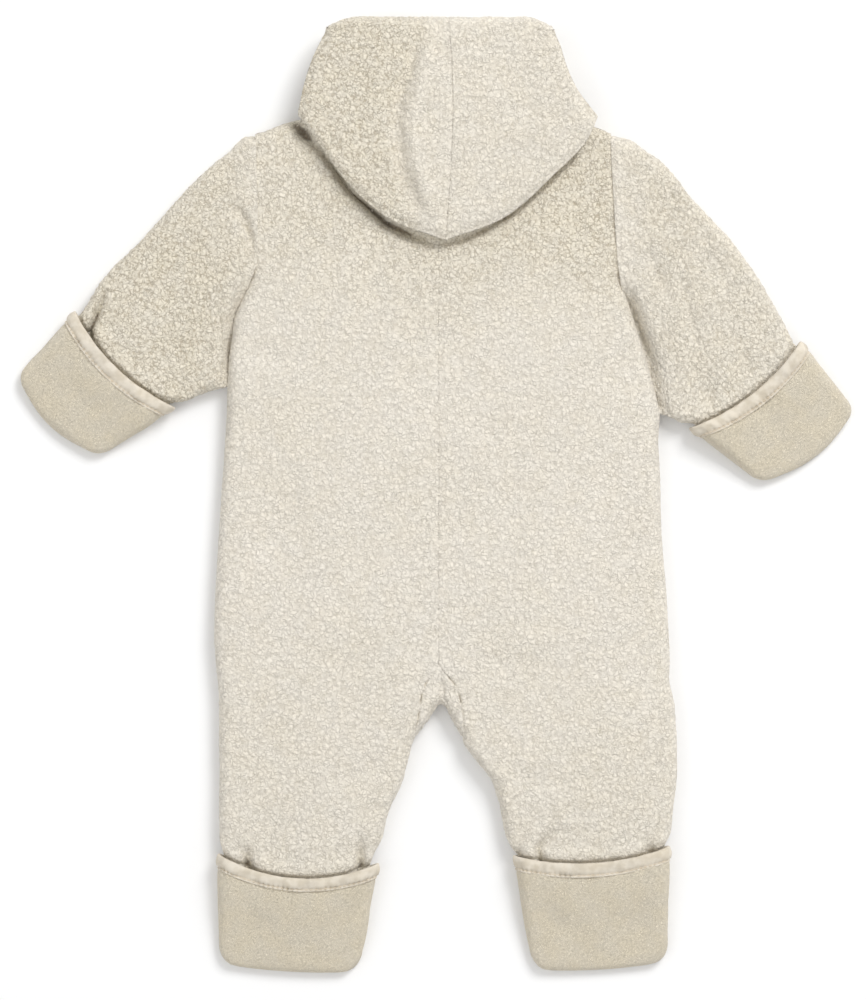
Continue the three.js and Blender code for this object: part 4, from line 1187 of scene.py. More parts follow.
def hood_grid(half, step):
    """Rows run from the foot of the fold, round it and down to the open edge."""
    shape = HOOD_HALVES[half]
    bend = np.linspace(-np.pi / 2, np.pi / 2, count(ROUND_FOLD, step))[:-1]
    lie = np.linspace(HOOD_FOLD, HOOD_REACH, count(HOOD_REACH - HOOD_FOLD, step))
    down = np.concatenate([HOOD_FOLD * (1 - np.cos(bend)), lie])[:, None]
    middle = (HOOD_TOP + HOOD_BASE) / 2
    z = np.concatenate([middle + (HOOD_TOP - middle) * np.sin(bend), np.full(len(lie), HOOD_TOP)])
    on_top = np.concatenate([np.zeros(len(bend)), np.ones(len(lie))])[:, None]
    s = np.linspace(0, 1, count(HALF_HOOD, step))[None, :]
    away = -1 if half == "left" else 1
    middle_seam = [(x - SEAM_GAP * away, y) for x, y in HOOD_SEAM]
    s, down = np.broadcast_arrays(s, down)
    plan = patch(lambda t: through(middle_seam, t), lambda t: through(shape["side"], t),
                 lambda t: through(shape["fold"], t), lambda t: through(shape["edge"], t),
                 s, down / HOOD_REACH)
    below = np.clip((middle - z) / (middle - HOOD_BASE), 0, 1)[:, None]
    plan[..., 0] -= away * FLANK_TUCK * below ** 1.5 * smoothstep(s, 0.8, 1)
    settle = (SETTLE * smoothstep(down, 60, HOOD_REACH)
              + EDGE_ROUND * smoothstep(down, HOOD_REACH - 10, HOOD_REACH) ** 2) * on_top
    flank = FLANK_ROUND * smoothstep(s, 0.9, 1) ** 2 * smoothstep(down, 4, 20)
    crease = sink(plan[..., 0], plan[..., 1], HOOD_CREASES) * smoothstep(down, 4, 30) * on_top
    height = z[:, None] - settle - flank - crease
    return np.concatenate([plan, height[..., None]], axis=-1)


print("a coarse hood half has", hood_grid("left", 10).shape[:2], "rows and columns")

# %% Sew the hood halves
HOOD_STEP = 0.95
# Painted nap shade of the hood: a little right of the crease, more added left of it, where the nap turns
# from the light.
NAP_SHADE_RIGHT, NAP_SHADE_ADDED_LEFT = 0.22, 0.48      # right of the crease, and what is added left of it


def hood_half(half, step):
    """A hood half with its pile; its columns run so that its face looks up."""
    base = hood_grid(half, step)
    looks_up = (grid_normals(base, False)[..., 2] > 0).mean() > 0.5
    base = base if looks_up else base[:, ::-1]
    first, last = from_edges(base)
    seam_first = abs(base[-1, 0, 0] - HOOD_SEAM[-1][0]) < 20
    centre = first if seam_first else last
    outer, mark = grow_pile(base, calm=0.3 * seam(centre, 1.4),
                            dip=0.35 * seam(centre, 1.2) * bridged(base[..., 1], 63),
                            seed=600, full=1.1)
    inner = inside_of(base, False, CLOTH_WALL)
    crease = through(HOOD_CREASES[0]["line"][::-1], smoothstep(base[..., 1], 180, 322))[..., 0]
    painted_nap_shade = NAP_SHADE_RIGHT + NAP_SHADE_ADDED_LEFT * (1 - smoothstep(base[..., 0] - crease, -14, 9))
    piece = cloth(f"hood_{half}", outer, inner, painted_shade_mark=mark, painted_nap_shade=painted_nap_shade)
    finish_cloth(piece, f"hood_{half}", base, False)
    return piece


pile_pieces += [hood_half(half, HOOD_STEP) for half in HOOD_HALVES]

# %% [markdown]
# ## Hidden layers of the hood
# Between the neck seam and the fold the hood stands up behind the fold, and under the
# part that is laid back lies its second layer. Both are seen only at their edges, so
# each is one closed rounded layer.

# %% Shape of a rounded layer
THIN_EDGE = 0.8             # half of what the closed ends keep of their thickness
LAYER_WIDTH = 150
# Each row is a height on the garment or a share of it, the two sides, and its fullness.
NECK_ROWS = [(0, -60, 63, 1), (0.2, -74, 80, 1), (0.5, -78, 84, 1), (0.82, -74, 77, 1),
             (1, -66, 69, 0.7)]
UNDER_ROWS = [(313, -66, 69, 0.7), (303, -74, 76, 1), (283, -80, 86, 1), (262, -80, 98, 1),
              (240, -69, 93, 1), (213, -48, 68, 1), (192, -22, 40, 1), (184, -12, 24, 0.6)]


def layer_grid(rows, top, bottom, length, step, height_of):
    """Rings of a rounded layer; height_of gives y from a row's first number and x."""
    table = np.asarray(rows, float)
    u = np.linspace(0, 1, count(length, step))[:, None]
    key, left, right, full = [np.interp(u, np.linspace(0, 1, len(table)), table[:, n])
                              for n in range(4)]
    thick = top - bottom
    round_side = thick * 0.42
    ring = Ring(LAYER_WIDTH, round_side, step)
    width = right - left
    x = lerp(left, right, ring.across(width, round_side))
    half = THIN_EDGE + (thick / 2 - THIN_EDGE) * full * ring.rise * ring.over
    z = (top + bottom) / 2 + half * ring.over
    y = height_of(key + 0 * x, x)
    return np.stack([x, y, z + 0 * x], axis=-1)


print("rows of the two layers:", len(NECK_ROWS), len(UNDER_ROWS))

# %% Lay the hidden hood layers
HIDDEN_STEP = 2.0
HOOD_SEAT = 23.7                        # underside of the upper layer's solid
SEAT_CLEAR, BACK_CLEAR = 2.1, 0.6       # left free over and under the layer beneath it
NECK_CLEAR, FOLD_CLEAR = 0.85, 0.6


def neck_line(key, x):
    """From the neck seam, where key is 0, to just before the hood's fold, where it is 1."""
    drop = np.where(x < CENTRE_X, SIDES["left"]["drop"], SIDES["right"]["drop"])
    low = SHOULDER_Y + neck_shift(x, np.full(x.shape, SHOULDER_Y), drop) + NECK_CLEAR
    return lerp(low, HOOD_SEAM[0][1] - HOOD_FOLD - FOLD_CLEAR, key)


hidden = {
    "hood_neck": (0.3, layer_grid(NECK_ROWS, BODY_STACK + LAYER_GAP, 0, 62, HIDDEN_STEP, neck_line)),
    "hood_under": (0.6, layer_grid(UNDER_ROWS, HOOD_SEAT - SEAT_CLEAR, BODY_STACK + BACK_CLEAR,
                                   132, HIDDEN_STEP, lambda key, x: key)),
}
for name, (calm, base) in hidden.items():
    base, = turned_out([base], wraps=True)
    outer, mark = grow_pile(base, True, calm=calm, seed=800)
    piece = pillow(name, outer, mark)
    finish_cloth(piece, name, base, True, share=0.5)
    pile_pieces.append(piece)

# %% [markdown]
# ## Mitts and booties
# Their cloth is a smooth thinner fleece. Near the binding it is gathered a little by the
# stitching, so small soft folds run in from there and fade towards the tip.

# %% Shape of a mitt or bootie
POCKET_STACK = 18.8         # at its opening
POCKET_FLAT = 9.2           # past the cloth that is tucked into it
TIP_STACK = 3.6             # where its tip closes
ROUND_SIDE = 9


def pocket_stack(pocket, depth):
    """How thick the pocket lies at each depth: full, then flat, and closed at its tip."""
    closing = np.maximum(0, (depth - pocket.length + ROUND_SIDE) / ROUND_SIDE)
    past = np.clip((depth - ROUND_SIDE) / (pocket.length - 15), 0, 1) ** 0.9
    past = 0.35 * past + 0.65 * smoothstep(depth, 6, pocket.length - 4)
    rounding = np.sqrt(np.maximum(1 - closing**2, 0))
    return lerp(TIP_STACK, lerp(POCKET_STACK, POCKET_FLAT, past), rounding)


def pocket_grid(pocket, depth, step, inset=0.0, swell=0.0, stack=None, ring=None):
    """Rings of the pocket's face at each depth, moved in by inset or out by swell."""
    if stack is None:
        stack = pocket_stack(pocket, depth)
    radius = np.minimum(stack / 2, ROUND_SIDE)
    low, high = pocket.sides(depth)
    ring = ring or Ring(pocket.opening - 24, ROUND_SIDE, step)
    flat = (high - low) - 2 * radius
    reach = ring.side * flat / 2 + np.sign(ring.side) * (radius - inset + swell) * np.cos(ring.angle)
    s = 0.5 + reach / (high - low)
    plan = pocket.place(s, depth + 0 * s)
    half = np.maximum(stack / 2 - inset, 0.5) + swell * (ring.over > 0)
    z = stack / 2 + half * ring.rise
    return np.concatenate([plan, (z + 0 * s)[..., None]], axis=-1), ring


middle_depth = POCKET["mitt_left"].length / 2
print("a mitt's middle is", round(float(pocket_stack(POCKET["mitt_left"], middle_depth)), 1), "mm thick")

# %% Gathers beside the binding, and a few creases
BINDING_WIDTH = 10
GATHER, GATHER_FADE = 0.75, 9       # height of the small folds, and how far they run in
SAG = 0.8
OTHER_SIDE = 400                    # the underside's noise is taken from so far away


def gathers(pocket, grid, depth, ring, seed):
    """Small folds that run in from the binding, uneven in size and spacing."""
    along = np.clip((grid[..., :2] - pocket.start) @ pocket.across, 0, pocket.opening)
    along = along + OTHER_SIDE * (ring.over < 0)
    wave = drift(along, 0.2 * depth, 6.5, seed) + 0.5 * drift(along, 0.3 * depth, 3.1, seed + 1)
    slow = drift(along, depth, 24, seed + 2)
    return GATHER * wave * np.exp(-np.maximum(depth - BINDING_WIDTH, 0) / GATHER_FADE) + SAG * slow


POCKET_CREASES = {
    "mitt_left": [dict(line=[(-252, 78), (-238, 62), (-226, 58)], depth=1.3, width=7),
                  dict(line=[(-214, 72), (-220, 56), (-224, 40)], depth=1.4, width=6)],
    "mitt_right": [dict(line=[(252, 66), (240, 52), (234, 40)], depth=1.4, width=7),
                   dict(line=[(222, 66), (232, 44), (238, 28)], depth=1.2, width=6)],
    "bootie_left": [dict(line=[(-130, -272), (-122, -290), (-98, -296)], depth=1.5, width=8),
                    dict(line=[(-58, -272), (-66, -292), (-62, -308)], depth=1.4, width=7)],
    "bootie_right": [dict(line=[(72, -270), (80, -290), (104, -298)], depth=1.5, width=8),
                     dict(line=[(142, -268), (136, -288), (140, -304)], depth=1.3, width=7)],
}
print("creases of the pockets:", {name: len(lines) for name, lines in POCKET_CREASES.items()})

# %% Sew the mitts and booties
FLEECE_STEP = 1.6
UNDER_BINDING = 0.6         # the fleece begins that far under the binding's edge
TOWARDS_TIP = 1.12          # above 1 the rows stand closer towards the tip
NAP_HEIGHT = 0.35
FLEECE_INSIDE, TIP_INSIDE = 2.0, 3.0


def same_way(base, pocket, depth, ring):
    """Whether turning a pocket's face outwards left its columns in their first order."""
    return np.allclose(base[0, 1], pocket_grid(pocket, depth, FLEECE_STEP, ring=ring)[0][0, 1])


fleece_pieces = []
for seed, (name, pocket) in enumerate(POCKET.items()):
    end = pocket.length
    rows = count(end - BINDING_WIDTH, FLEECE_STEP)
    from_tip = (end - BINDING_WIDTH + UNDER_BINDING) * np.linspace(1, 0, rows) ** TOWARDS_TIP
    depth = (end - from_tip)[:, None]
    base, ring = pocket_grid(pocket, depth, FLEECE_STEP)
    caught = np.exp(-((depth - BINDING_WIDTH) / 1.5) ** 2)
    lift = gathers(pocket, base, depth, ring, 50 + 7 * seed) - 0.7 * caught
    lift = lift + 0.12 * drift(base[..., 0] + 300 * (ring.over < 0), base[..., 1], 3.2, 90 + seed)
    lift = lift * smoothstep(end - depth, 0, 6)
    lift = lift - sink(base[..., 0], base[..., 1], POCKET_CREASES[name]) * (ring.rise > 0.5)
    lift = np.where(ring.over > 0, lift, 0.5 * lift)
    base, lift = turned_out([base, lift + 0 * base[..., 0]], wraps=True)
    outer = base + grid_normals(base, True) * (NAP_HEIGHT + lift)[..., None]
    inside_depth = depth - TIP_INSIDE * smoothstep(depth, end - 12, end)
    inner, _ = pocket_grid(pocket, inside_depth, FLEECE_STEP, inset=FLEECE_INSIDE,
                           stack=pocket_stack(pocket, depth), ring=ring)
    if not same_way(base, pocket, depth, ring):
        inner = np.roll(inner[:, ::-1], 1, axis=1)
    piece = cloth(name, outer, inner, wraps=True, blind=True)
    finish_cloth(piece, name, base, True)
    fleece_pieces.append(piece)

# %% [markdown]
# ## Bindings
# A strip of jersey is folded over each open edge and stitched down. It makes a soft
# padded lip. Its stitching runs in a small groove near the lower edge, beyond which the
# strip's own edge stands up again, and between stitches the strip puckers a little.

# %% Section of a binding
LIP = np.array([  # depth into the pocket, and offset out of the wall, round the lip
    (4.2, -2.6), (2.2, -2.5), (0.9, -2.2), (0.1, -1.5), (-0.25, -0.6), (0.05, 0.2), (0.8, 0.75),
    (1.8, 1.1), (3.2, 1.3), (4.6, 1.3), (6.0, 1.15), (7.2, 0.75), (8.0, 0.1), (8.6, -0.3),
    (9.2, 0.35), (9.8, 0.65), (10.3, 0.35), (10.6, -0.5),
])
LIP_DEPTH, LIP_OFFSET = LIP[:, :1], LIP[:, 1:]
LIP_SHOWS = -1              # rows that lie deeper than this are inside the opening
BINDING_STEP = 1.05
STRIP_THICK, TURNED_THICK = 0.9, 0.5


def binding_grid(pocket, profile, ring=None):
    """Rings round the opening, one for each depth and offset of the profile."""
    rows = []
    for depth, offset in profile:
        grid, ring = pocket_grid(pocket, np.array([[depth]]), BINDING_STEP, swell=offset,
                                 stack=np.array([[POCKET_STACK]]), ring=ring)
        grid[..., 2] += np.where(ring.over > 0, 0, offset * ring.rise * (offset < 0))
        rows.append(grid[0])
    return np.stack(rows), ring


def strip_inside(depth, offset):
    """The lip's hidden face: a strip's thickness in, or out where the strip is turned under."""
    if offset > LIP_SHOWS:
        return max(depth, STRIP_THICK), min(offset, 0) - STRIP_THICK
    return depth, offset + TURNED_THICK


print("rows of a binding:", len(LIP))

# %% Bind the openings
STITCH_DEPTH, STITCH_PITCH, STITCH_LONG = 8.6, 3.3, 2.5
PUCKER, PUCKER_VARIES, PUCKER_REACH = 0.5, 0.4, 2.2
ALWAYS_UNEVEN, SLACK_UNEVEN = 0.12, 0.6
binding_pieces = []
for seed, (name, pocket) in enumerate(POCKET.items()):
    base, ring = binding_grid(pocket, LIP)
    crest = base[8]
    around = np.cumsum(np.linalg.norm(np.diff(crest, axis=0, append=crest[:1]), axis=-1))
    pucker = np.sin(2 * np.pi * around / STITCH_PITCH) * (
        PUCKER + PUCKER_VARIES * drift(around, 0, 14, 71 + seed))
    uneven = drift(around, 0 * around, 9, 61 + seed) + drift(around, 0 * around, 3.4, 81 + seed)
    near = np.exp(-((LIP_DEPTH - STITCH_DEPTH) / PUCKER_REACH) ** 2)
    slack = smoothstep(LIP_DEPTH, 1.5, 5) * (1 - smoothstep(LIP_DEPTH, 7.5, STITCH_DEPTH))
    shift = pucker[None] * near + (ALWAYS_UNEVEN + SLACK_UNEVEN * slack) * uneven[None]
    shift = shift * (LIP_OFFSET > LIP_SHOWS)
    inner, _ = binding_grid(pocket, [strip_inside(*row) for row in LIP], ring)
    base, shift = turned_out([base, shift + 0 * base[..., 0]], wraps=True)
    if not np.allclose(base[0, 1], binding_grid(pocket, LIP[:1], ring)[0][0, 1]):
        inner = np.roll(inner[:, ::-1], 1, axis=1)
    rows = len(LIP) // COARSE * COARSE + 1
    outer = (base + grid_normals(base, True) * shift[..., None])[:rows]
    node = name.replace("_", "_binding_")
    piece = cloth(node, outer, inner[:rows], wraps=True)
    finish_cloth(piece, node, base[:rows], True)
    binding_pieces.append(piece)

# %% [markdown]
# ## Topstitching on the bindings
# Each stitch is a short soft bar of thread that sinks at its ends. They are real
# geometry, one mesh for each binding, and the upper side's stitches lie in the groove.

# %% Faces of a bar


def bar_faces(first, rings, sides):
    """Faces round a bar whose points are numbered from first, ring after ring."""
    faces = []
    for k in range(rings - 1):
        for corner in range(sides):
            a, b = first + k * sides + corner, first + k * sides + (corner + 1) % sides
            faces.append((a, b, b + sides, a + sides))
    return faces


print("faces round a square bar:", bar_faces(0, 2, 4))

# %% One row of stitches
BAR_RINGS, BAR_SIDES = 5, 6
SUNK_END, LEAN = 0.38, 0.12     # how deep a stitch's ends lie, and how crooked it may be


def stitches(name, line, ups, long, thick):
    """A row of thread stitches along a line of points, each lying in the direction of it."""
    points, faces = [], []
    steps = np.linalg.norm(np.diff(line, axis=0), axis=-1)
    way = np.concatenate([[0], np.cumsum(steps)])
    for n, at in enumerate(np.arange(STITCH_PITCH / 2, way[-1] - long, STITCH_PITCH)):
        spots = at + long * np.linspace(-0.5, 0.5, BAR_RINGS)
        centre = np.stack([np.interp(spots, way, line[:, k]) for k in range(3)], axis=-1)
        up = np.stack([np.interp(at, way, ups[:, k]) for k in range(3)])
        ahead = centre[-1] - centre[0]
        side = np.cross(up, ahead)
        side, up = side / np.linalg.norm(side), up / np.linalg.norm(up)
        lean = LEAN * (scatter(n, 3, 9) - 0.5)
        first = len(points)
        for k, middle in enumerate(centre):
            from_middle = k - BAR_RINGS // 2
            sunk = -SUNK_END * (abs(from_middle) / (BAR_RINGS // 2)) ** 2
            for corner in range(BAR_SIDES):
                angle = corner * np.pi / (BAR_SIDES / 2)
                points.append(middle + side * (np.cos(angle) * thick + lean * from_middle)
                              + up * (np.sin(angle) * thick * 0.8 + sunk))
        faces += bar_faces(first, BAR_RINGS, BAR_SIDES)
        for end in (first, first + (BAR_RINGS - 1) * BAR_SIDES):
            faces += [(end, end + 1, end + 2, end + 3), (end, end + 3, end + 4, end + 5)]
    piece = write_mesh(name, np.array(points), [np.array(faces)])
    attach(piece, "garment")
    print(f"{piece.name}: {len(points) // (BAR_RINGS * BAR_SIDES)} stitches")
    return piece


# %% Sew the stitches
THREAD_THICK, THREAD_HEIGHT = 0.3, 0.15
thread_pieces = []
for name, pocket in POCKET.items():
    line, ring = binding_grid(pocket, [(STITCH_DEPTH, THREAD_HEIGHT)])
    below, _ = binding_grid(pocket, [(STITCH_DEPTH, -1.5)], ring)
    ups = line[0] - below[0]
    closed, ups = [np.concatenate([row, row[:1]]) for row in (line[0], ups)]
    thread_pieces.append(stitches(f"{name}_stitches", closed, ups, STITCH_LONG, THREAD_THICK))

# %% [markdown]
# ## Zip
# The zip is on the front and so lies underneath. Each tape is a thin woven strip. The
# chain is two rows of small moulded teeth that mesh. The slider and its pull are hard
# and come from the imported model, only their finish is added here.

# %% Zip tapes
TAPE_WIDTH, TAPE_THICK, TAPE_STEP = 12.0, 1.0, 2.5
BOX_ROUND = 0.35
CORD, CORD_AT, CORD_REACH = 0.25, 4.2, 0.8      # a thin rib beside the teeth
around = np.linspace(0, 2 * np.pi, 33)[:-1]


def squared(v):
    """Pushes a circle out towards a box with rounded corners."""
    return np.sign(v) * np.abs(v) ** BOX_ROUND


tape_pieces = []
for side, sign in (("left", -1), ("right", 1)):
    low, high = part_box(f"zip_tape_{side}")
    low, high = np.array(low) / MM - ORIGIN, np.array(high) / MM - ORIGIN
    y = np.linspace(high[1], low[1], count(high[1] - low[1], TAPE_STEP))[:, None]
    x = (low[0] + high[0]) / 2 + squared(np.cos(around)) * TAPE_WIDTH / 2
    cord = CORD * np.exp(-((sign * (x - CENTRE_X) - CORD_AT) / CORD_REACH) ** 2)
    z = (low[2] + high[2]) / 2 + squared(np.sin(around)) * TAPE_THICK / 2 - cord * (np.sin(around) < 0)
    base = np.stack(np.broadcast_arrays(x[None], y, z[None]), axis=-1)
    tape = pillow(f"zip_tape_{side}", base, np.ones(base.shape[:2]))
    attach(tape, "garment")
    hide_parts(f"zip_tape_{side}")
    tape_pieces.append(tape)
    print(f"{tape.name}: {high[1] - low[1]:.0f} mm long")

# %% One tooth
ZIP_TOP, CHAIN_Z, CHAIN_WIDE, CHAIN_THICK = 240.0, 5.15, 4.6, 3.4
TOOTH = ((-0.1, 1.0), (1.1, 1.0), (1.7, 0.62), (2.4, 0.9), (3.0, 0.55))    # reach, half width
TOOTH_FULL, TOOTH_HALF = 0.85, 1.5
BEVELLED = ((-1, -0.6), (-0.6, -1), (0.6, -1), (1, -0.6), (1, 0.6), (0.6, 1), (-0.6, 1), (-1, 0.6))


def tooth_points(at, sign):
    """A bevelled tooth that reaches from its tape past the middle, with a small waist."""
    middle = CHAIN_Z + CHAIN_THICK / 2
    return [(CENTRE_X + sign * (CHAIN_WIDE / 2 + 0.05 - reach), at + dy * wide * TOOTH_FULL,
             middle + dz * TOOTH_HALF) for reach, wide in TOOTH for dy, dz in BEVELLED]


print("points of a tooth:", len(tooth_points(0, 1)))

# %% Zip teeth
TOOTH_PITCH = 2.5
teeth_points, teeth_faces = [], []
for n, at in enumerate(np.arange(ZIP_BOTTOM + 3, ZIP_TOP - 2, TOOTH_PITCH / 2)):
    first = len(teeth_points)
    teeth_points += tooth_points(at, 1 if n % 2 else -1)
    teeth_faces += bar_faces(first, len(TOOTH), len(BEVELLED))
    for end in (first, first + len(BEVELLED) * (len(TOOTH) - 1)):
        teeth_faces += [(end, end + 1, end + 2, end + 3), (end, end + 3, end + 4, end + 7),
                        (end + 4, end + 5, end + 6, end + 7)]
teeth = write_mesh("zip_teeth", np.array(teeth_points), [np.array(teeth_faces)])
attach(teeth, "garment")
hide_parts("zip_chain")
print("teeth:", n + 1)

# %% [markdown]
# ## Small patterns shared by the materials
# Effects that more than one material uses are node groups, each made once. They give
# out only colours, masks and heights. Everything is measured in the garment's own
# millimetres, so the patterns stay on the cloth.

# %% Helpers for node trees


def add_node(tree, kind, **settings):
    """A new node with its settings."""
    node = tree.nodes.new(kind)
    for key, value in settings.items():
        setattr(node, key, value)
    return node


def feed(tree, node, **values):
    """Sets input sockets by name: a number stays a number, a socket becomes a link."""
    for name, value in values.items():
        socket = node.inputs[name.replace("_", " ")]
        if isinstance(value, bpy.types.NodeSocket):
            tree.links.new(value, socket)
        else:
            socket.default_value = value
    return node


def maths(tree, operation, a, b=None, c=None):
    """One sum of two or three values."""
    node = add_node(tree, "ShaderNodeMath", operation=operation)
    for socket, value in zip(node.inputs, (a, b, c)):
        if isinstance(value, bpy.types.NodeSocket):
            tree.links.new(value, socket)
        elif value is not None:
            socket.default_value = value
    return node.outputs[0]


def blend(tree, factor, a, b, mode="MIX"):
    """Colour a mixed with colour b, or multiplied by it."""
    node = add_node(tree, "ShaderNodeMix", data_type="RGBA", blend_type=mode)
    for index, value in ((0, factor), (6, a), (7, b)):
        if isinstance(value, bpy.types.NodeSocket):
            tree.links.new(value, node.inputs[index])
        else:
            node.inputs[index].default_value = value
    return node.outputs[2]


def ramp(tree, value, low, high, out_low=0.0, out_high=1.0):
    """A soft step from out_low to out_high while value runs from low to high."""
    node = add_node(tree, "ShaderNodeMapRange", interpolation_type="SMOOTHSTEP")
    feed(tree, node, Value=value, From_Min=low, From_Max=high, To_Min=out_low, To_Max=out_high)
    return node.outputs[0]


print("node helpers ready")

# %% Helpers for groups


def new_group(name, inputs, outputs):
    """An empty node group with named sockets, and its input and output nodes."""
    tree = bpy.data.node_groups.new(name, "ShaderNodeTree")
    for label, kind, value in inputs:
        socket = tree.interface.new_socket(label, in_out="INPUT", socket_type=kind)
        socket.default_value = value
    for label, kind in outputs:
        tree.interface.new_socket(label, in_out="OUTPUT", socket_type=kind)
    return tree, tree.nodes.new("NodeGroupInput"), tree.nodes.new("NodeGroupOutput")


def use_group(tree, group, **values):
    """Places a group in a tree, with its own values."""
    node = add_node(tree, "ShaderNodeGroup", node_tree=group)
    return feed(tree, node, **values)


def millimetres(tree):
    """The garment's own coordinates in millimetres."""
    place = add_node(tree, "ShaderNodeTexCoord").outputs["Object"]
    scale = add_node(tree, "ShaderNodeVectorMath", operation="SCALE")
    tree.links.new(place, scale.inputs[0])
    scale.inputs["Scale"].default_value = 1 / MM
    return scale.outputs[0]


def noise(tree, place, size, detail=2.0, rough=0.5):
    """Noise from 0 to 1 whose features are about size mm."""
    node = add_node(tree, "ShaderNodeTexNoise")
    feed(tree, node, Vector=place, Scale=1 / size, Detail=detail, Roughness=rough)
    return node.outputs["Fac"]


def bent(tree, place, scale, detail, amount):
    """Places pushed about by noise, so that a pattern on them has no straight lines."""
    bend = add_node(tree, "ShaderNodeTexNoise")
    feed(tree, bend, Vector=place, Scale=scale, Detail=detail)
    push = add_node(tree, "ShaderNodeVectorMath", operation="MULTIPLY_ADD")
    tree.links.new(bend.outputs["Color"], push.inputs[0])
    push.inputs[1].default_value = (amount, amount, amount)
    tree.links.new(place, push.inputs[2])
    return push.outputs[0]


print("group helpers ready")

# %% Slow drift of tone
BROAD, PATCHY = 60.0, 14.0          # sizes in mm
BROAD_SHARE = 0.65
drift_tree, drift_in, drift_out = new_group(
    "tone_drift",
    [("Colour", "NodeSocketColor", (1, 1, 1, 1)), ("Amount", "NodeSocketFloat", 0.1)],
    [("Colour", "NodeSocketColor")])
place = millimetres(drift_tree)
slow = noise(drift_tree, place, BROAD)
patchy = noise(drift_tree, place, PATCHY)
sum_of_both = maths(drift_tree, "MULTIPLY_ADD", slow, BROAD_SHARE,
                    maths(drift_tree, "MULTIPLY", patchy, 1 - BROAD_SHARE))
swing = maths(drift_tree, "MULTIPLY_ADD", maths(drift_tree, "SUBTRACT", sum_of_both, 0.5),
              drift_in.outputs["Amount"], 1.0)
warm = add_node(drift_tree, "ShaderNodeHueSaturation")
feed(drift_tree, warm, Color=drift_in.outputs["Colour"], Value=swing,
     Saturation=ramp(drift_tree, patchy, 0.3, 0.7, 0.94, 1.06))
drift_tree.links.new(warm.outputs[0], drift_out.inputs[0])
print("group:", drift_tree.name)

# %% Fine fibres
FIBRE_BEND = 2.2
STRAND_SHARE = 0.45                 # of the relief; the rest is single hairs
fibre_tree, fibre_in, fibre_out = new_group(
    "fibres", [("Size", "NodeSocketFloat", 0.5)], [("Height", "NodeSocketFloat")])
place = bent(fibre_tree, millimetres(fibre_tree), 0.7, 1.0, FIBRE_BEND)
strand = add_node(fibre_tree, "ShaderNodeTexVoronoi", feature="DISTANCE_TO_EDGE")
feed(fibre_tree, strand, Vector=place,
     Scale=maths(fibre_tree, "DIVIDE", 1.0, fibre_in.outputs["Size"]))
hairs = add_node(fibre_tree, "ShaderNodeTexNoise")
feed(fibre_tree, hairs, Vector=place, Detail=3.0, Roughness=0.65,
     Scale=maths(fibre_tree, "DIVIDE", 1.6, fibre_in.outputs["Size"]))
rounded = ramp(fibre_tree, strand.outputs["Distance"], 0.0, 0.35)
height = maths(fibre_tree, "MULTIPLY_ADD", rounded, STRAND_SHARE,
               maths(fibre_tree, "MULTIPLY", hairs.outputs["Fac"], 1 - STRAND_SHARE))
fibre_tree.links.new(height, fibre_out.inputs[0])
print("group:", fibre_tree.name)

# %% Small curls
CURL_BEND = 6.5
CURL_LINE, CURL_ROUND = 0.15, 0.75  # width of the gaps and reach of the domes, in curls
DOME_SHARE, FUZZ_SHARE, GAP_SHARE = 0.5, 0.55, 0.3
curl_tree, curl_in, curl_out = new_group(
    "small_curls", [("Size", "NodeSocketFloat", 2.8)],
    [("Height", "NodeSocketFloat"), ("Gap", "NodeSocketFloat")])
place = millimetres(curl_tree)
curled = bent(curl_tree, place, 0.28, 2.0, CURL_BEND)
finer = maths(curl_tree, "DIVIDE", 1.0, curl_in.outputs["Size"])
border = add_node(curl_tree, "ShaderNodeTexVoronoi", feature="DISTANCE_TO_EDGE")
feed(curl_tree, border, Vector=curled, Scale=finer)
puff = add_node(curl_tree, "ShaderNodeTexVoronoi", feature="SMOOTH_F1")
feed(curl_tree, puff, Vector=curled, Scale=finer, Smoothness=0.35)
ajar = ramp(curl_tree, noise(curl_tree, place, 2.6), 0.38, 0.56, 0.25, 1.0)
line = ramp(curl_tree, border.outputs["Distance"], 0.0, CURL_LINE, 1.0, 0.0)
gap = maths(curl_tree, "MULTIPLY", line, ajar)
dome = ramp(curl_tree, puff.outputs["Distance"], 0.0, CURL_ROUND, 1.0, 0.0)
fuzz = noise(curl_tree, curled, 0.9, 3.0, 0.6)
height = maths(curl_tree, "MULTIPLY_ADD", dome, DOME_SHARE,
               maths(curl_tree, "MULTIPLY", fuzz, FUZZ_SHARE))
height = maths(curl_tree, "SUBTRACT", height, maths(curl_tree, "MULTIPLY", gap, GAP_SHARE))
curl_tree.links.new(gap, curl_out.inputs[1])
curl_tree.links.new(height, curl_out.inputs[0])
print("group:", curl_tree.name)

# %% Fine ribs or weave
rib_tree, rib_in, rib_out = new_group(
    "ribs",
    [("Across", "NodeSocketFloat", 0.9), ("Along", "NodeSocketFloat", 1.1)],
    [("Height", "NodeSocketFloat")])
place = add_node(rib_tree, "ShaderNodeSeparateXYZ")
rib_tree.links.new(millimetres(rib_tree), place.inputs[0])


def rib_wave(coordinate, pitch):
    """0 between ribs and 1 on them."""
    turns = maths(rib_tree, "DIVIDE", coordinate, pitch)
    wave = maths(rib_tree, "SINE", maths(rib_tree, "MULTIPLY", turns, 2 * math.pi))
    return maths(rib_tree, "MULTIPLY_ADD", wave, 0.5, 0.5)


both = maths(rib_tree, "MULTIPLY", rib_wave(place.outputs[0], rib_in.outputs["Across"]),
             rib_wave(place.outputs[1], rib_in.outputs["Along"]))
rib_tree.links.new(both, rib_out.inputs[0])
print("node groups:", [group.name for group in bpy.data.node_groups])

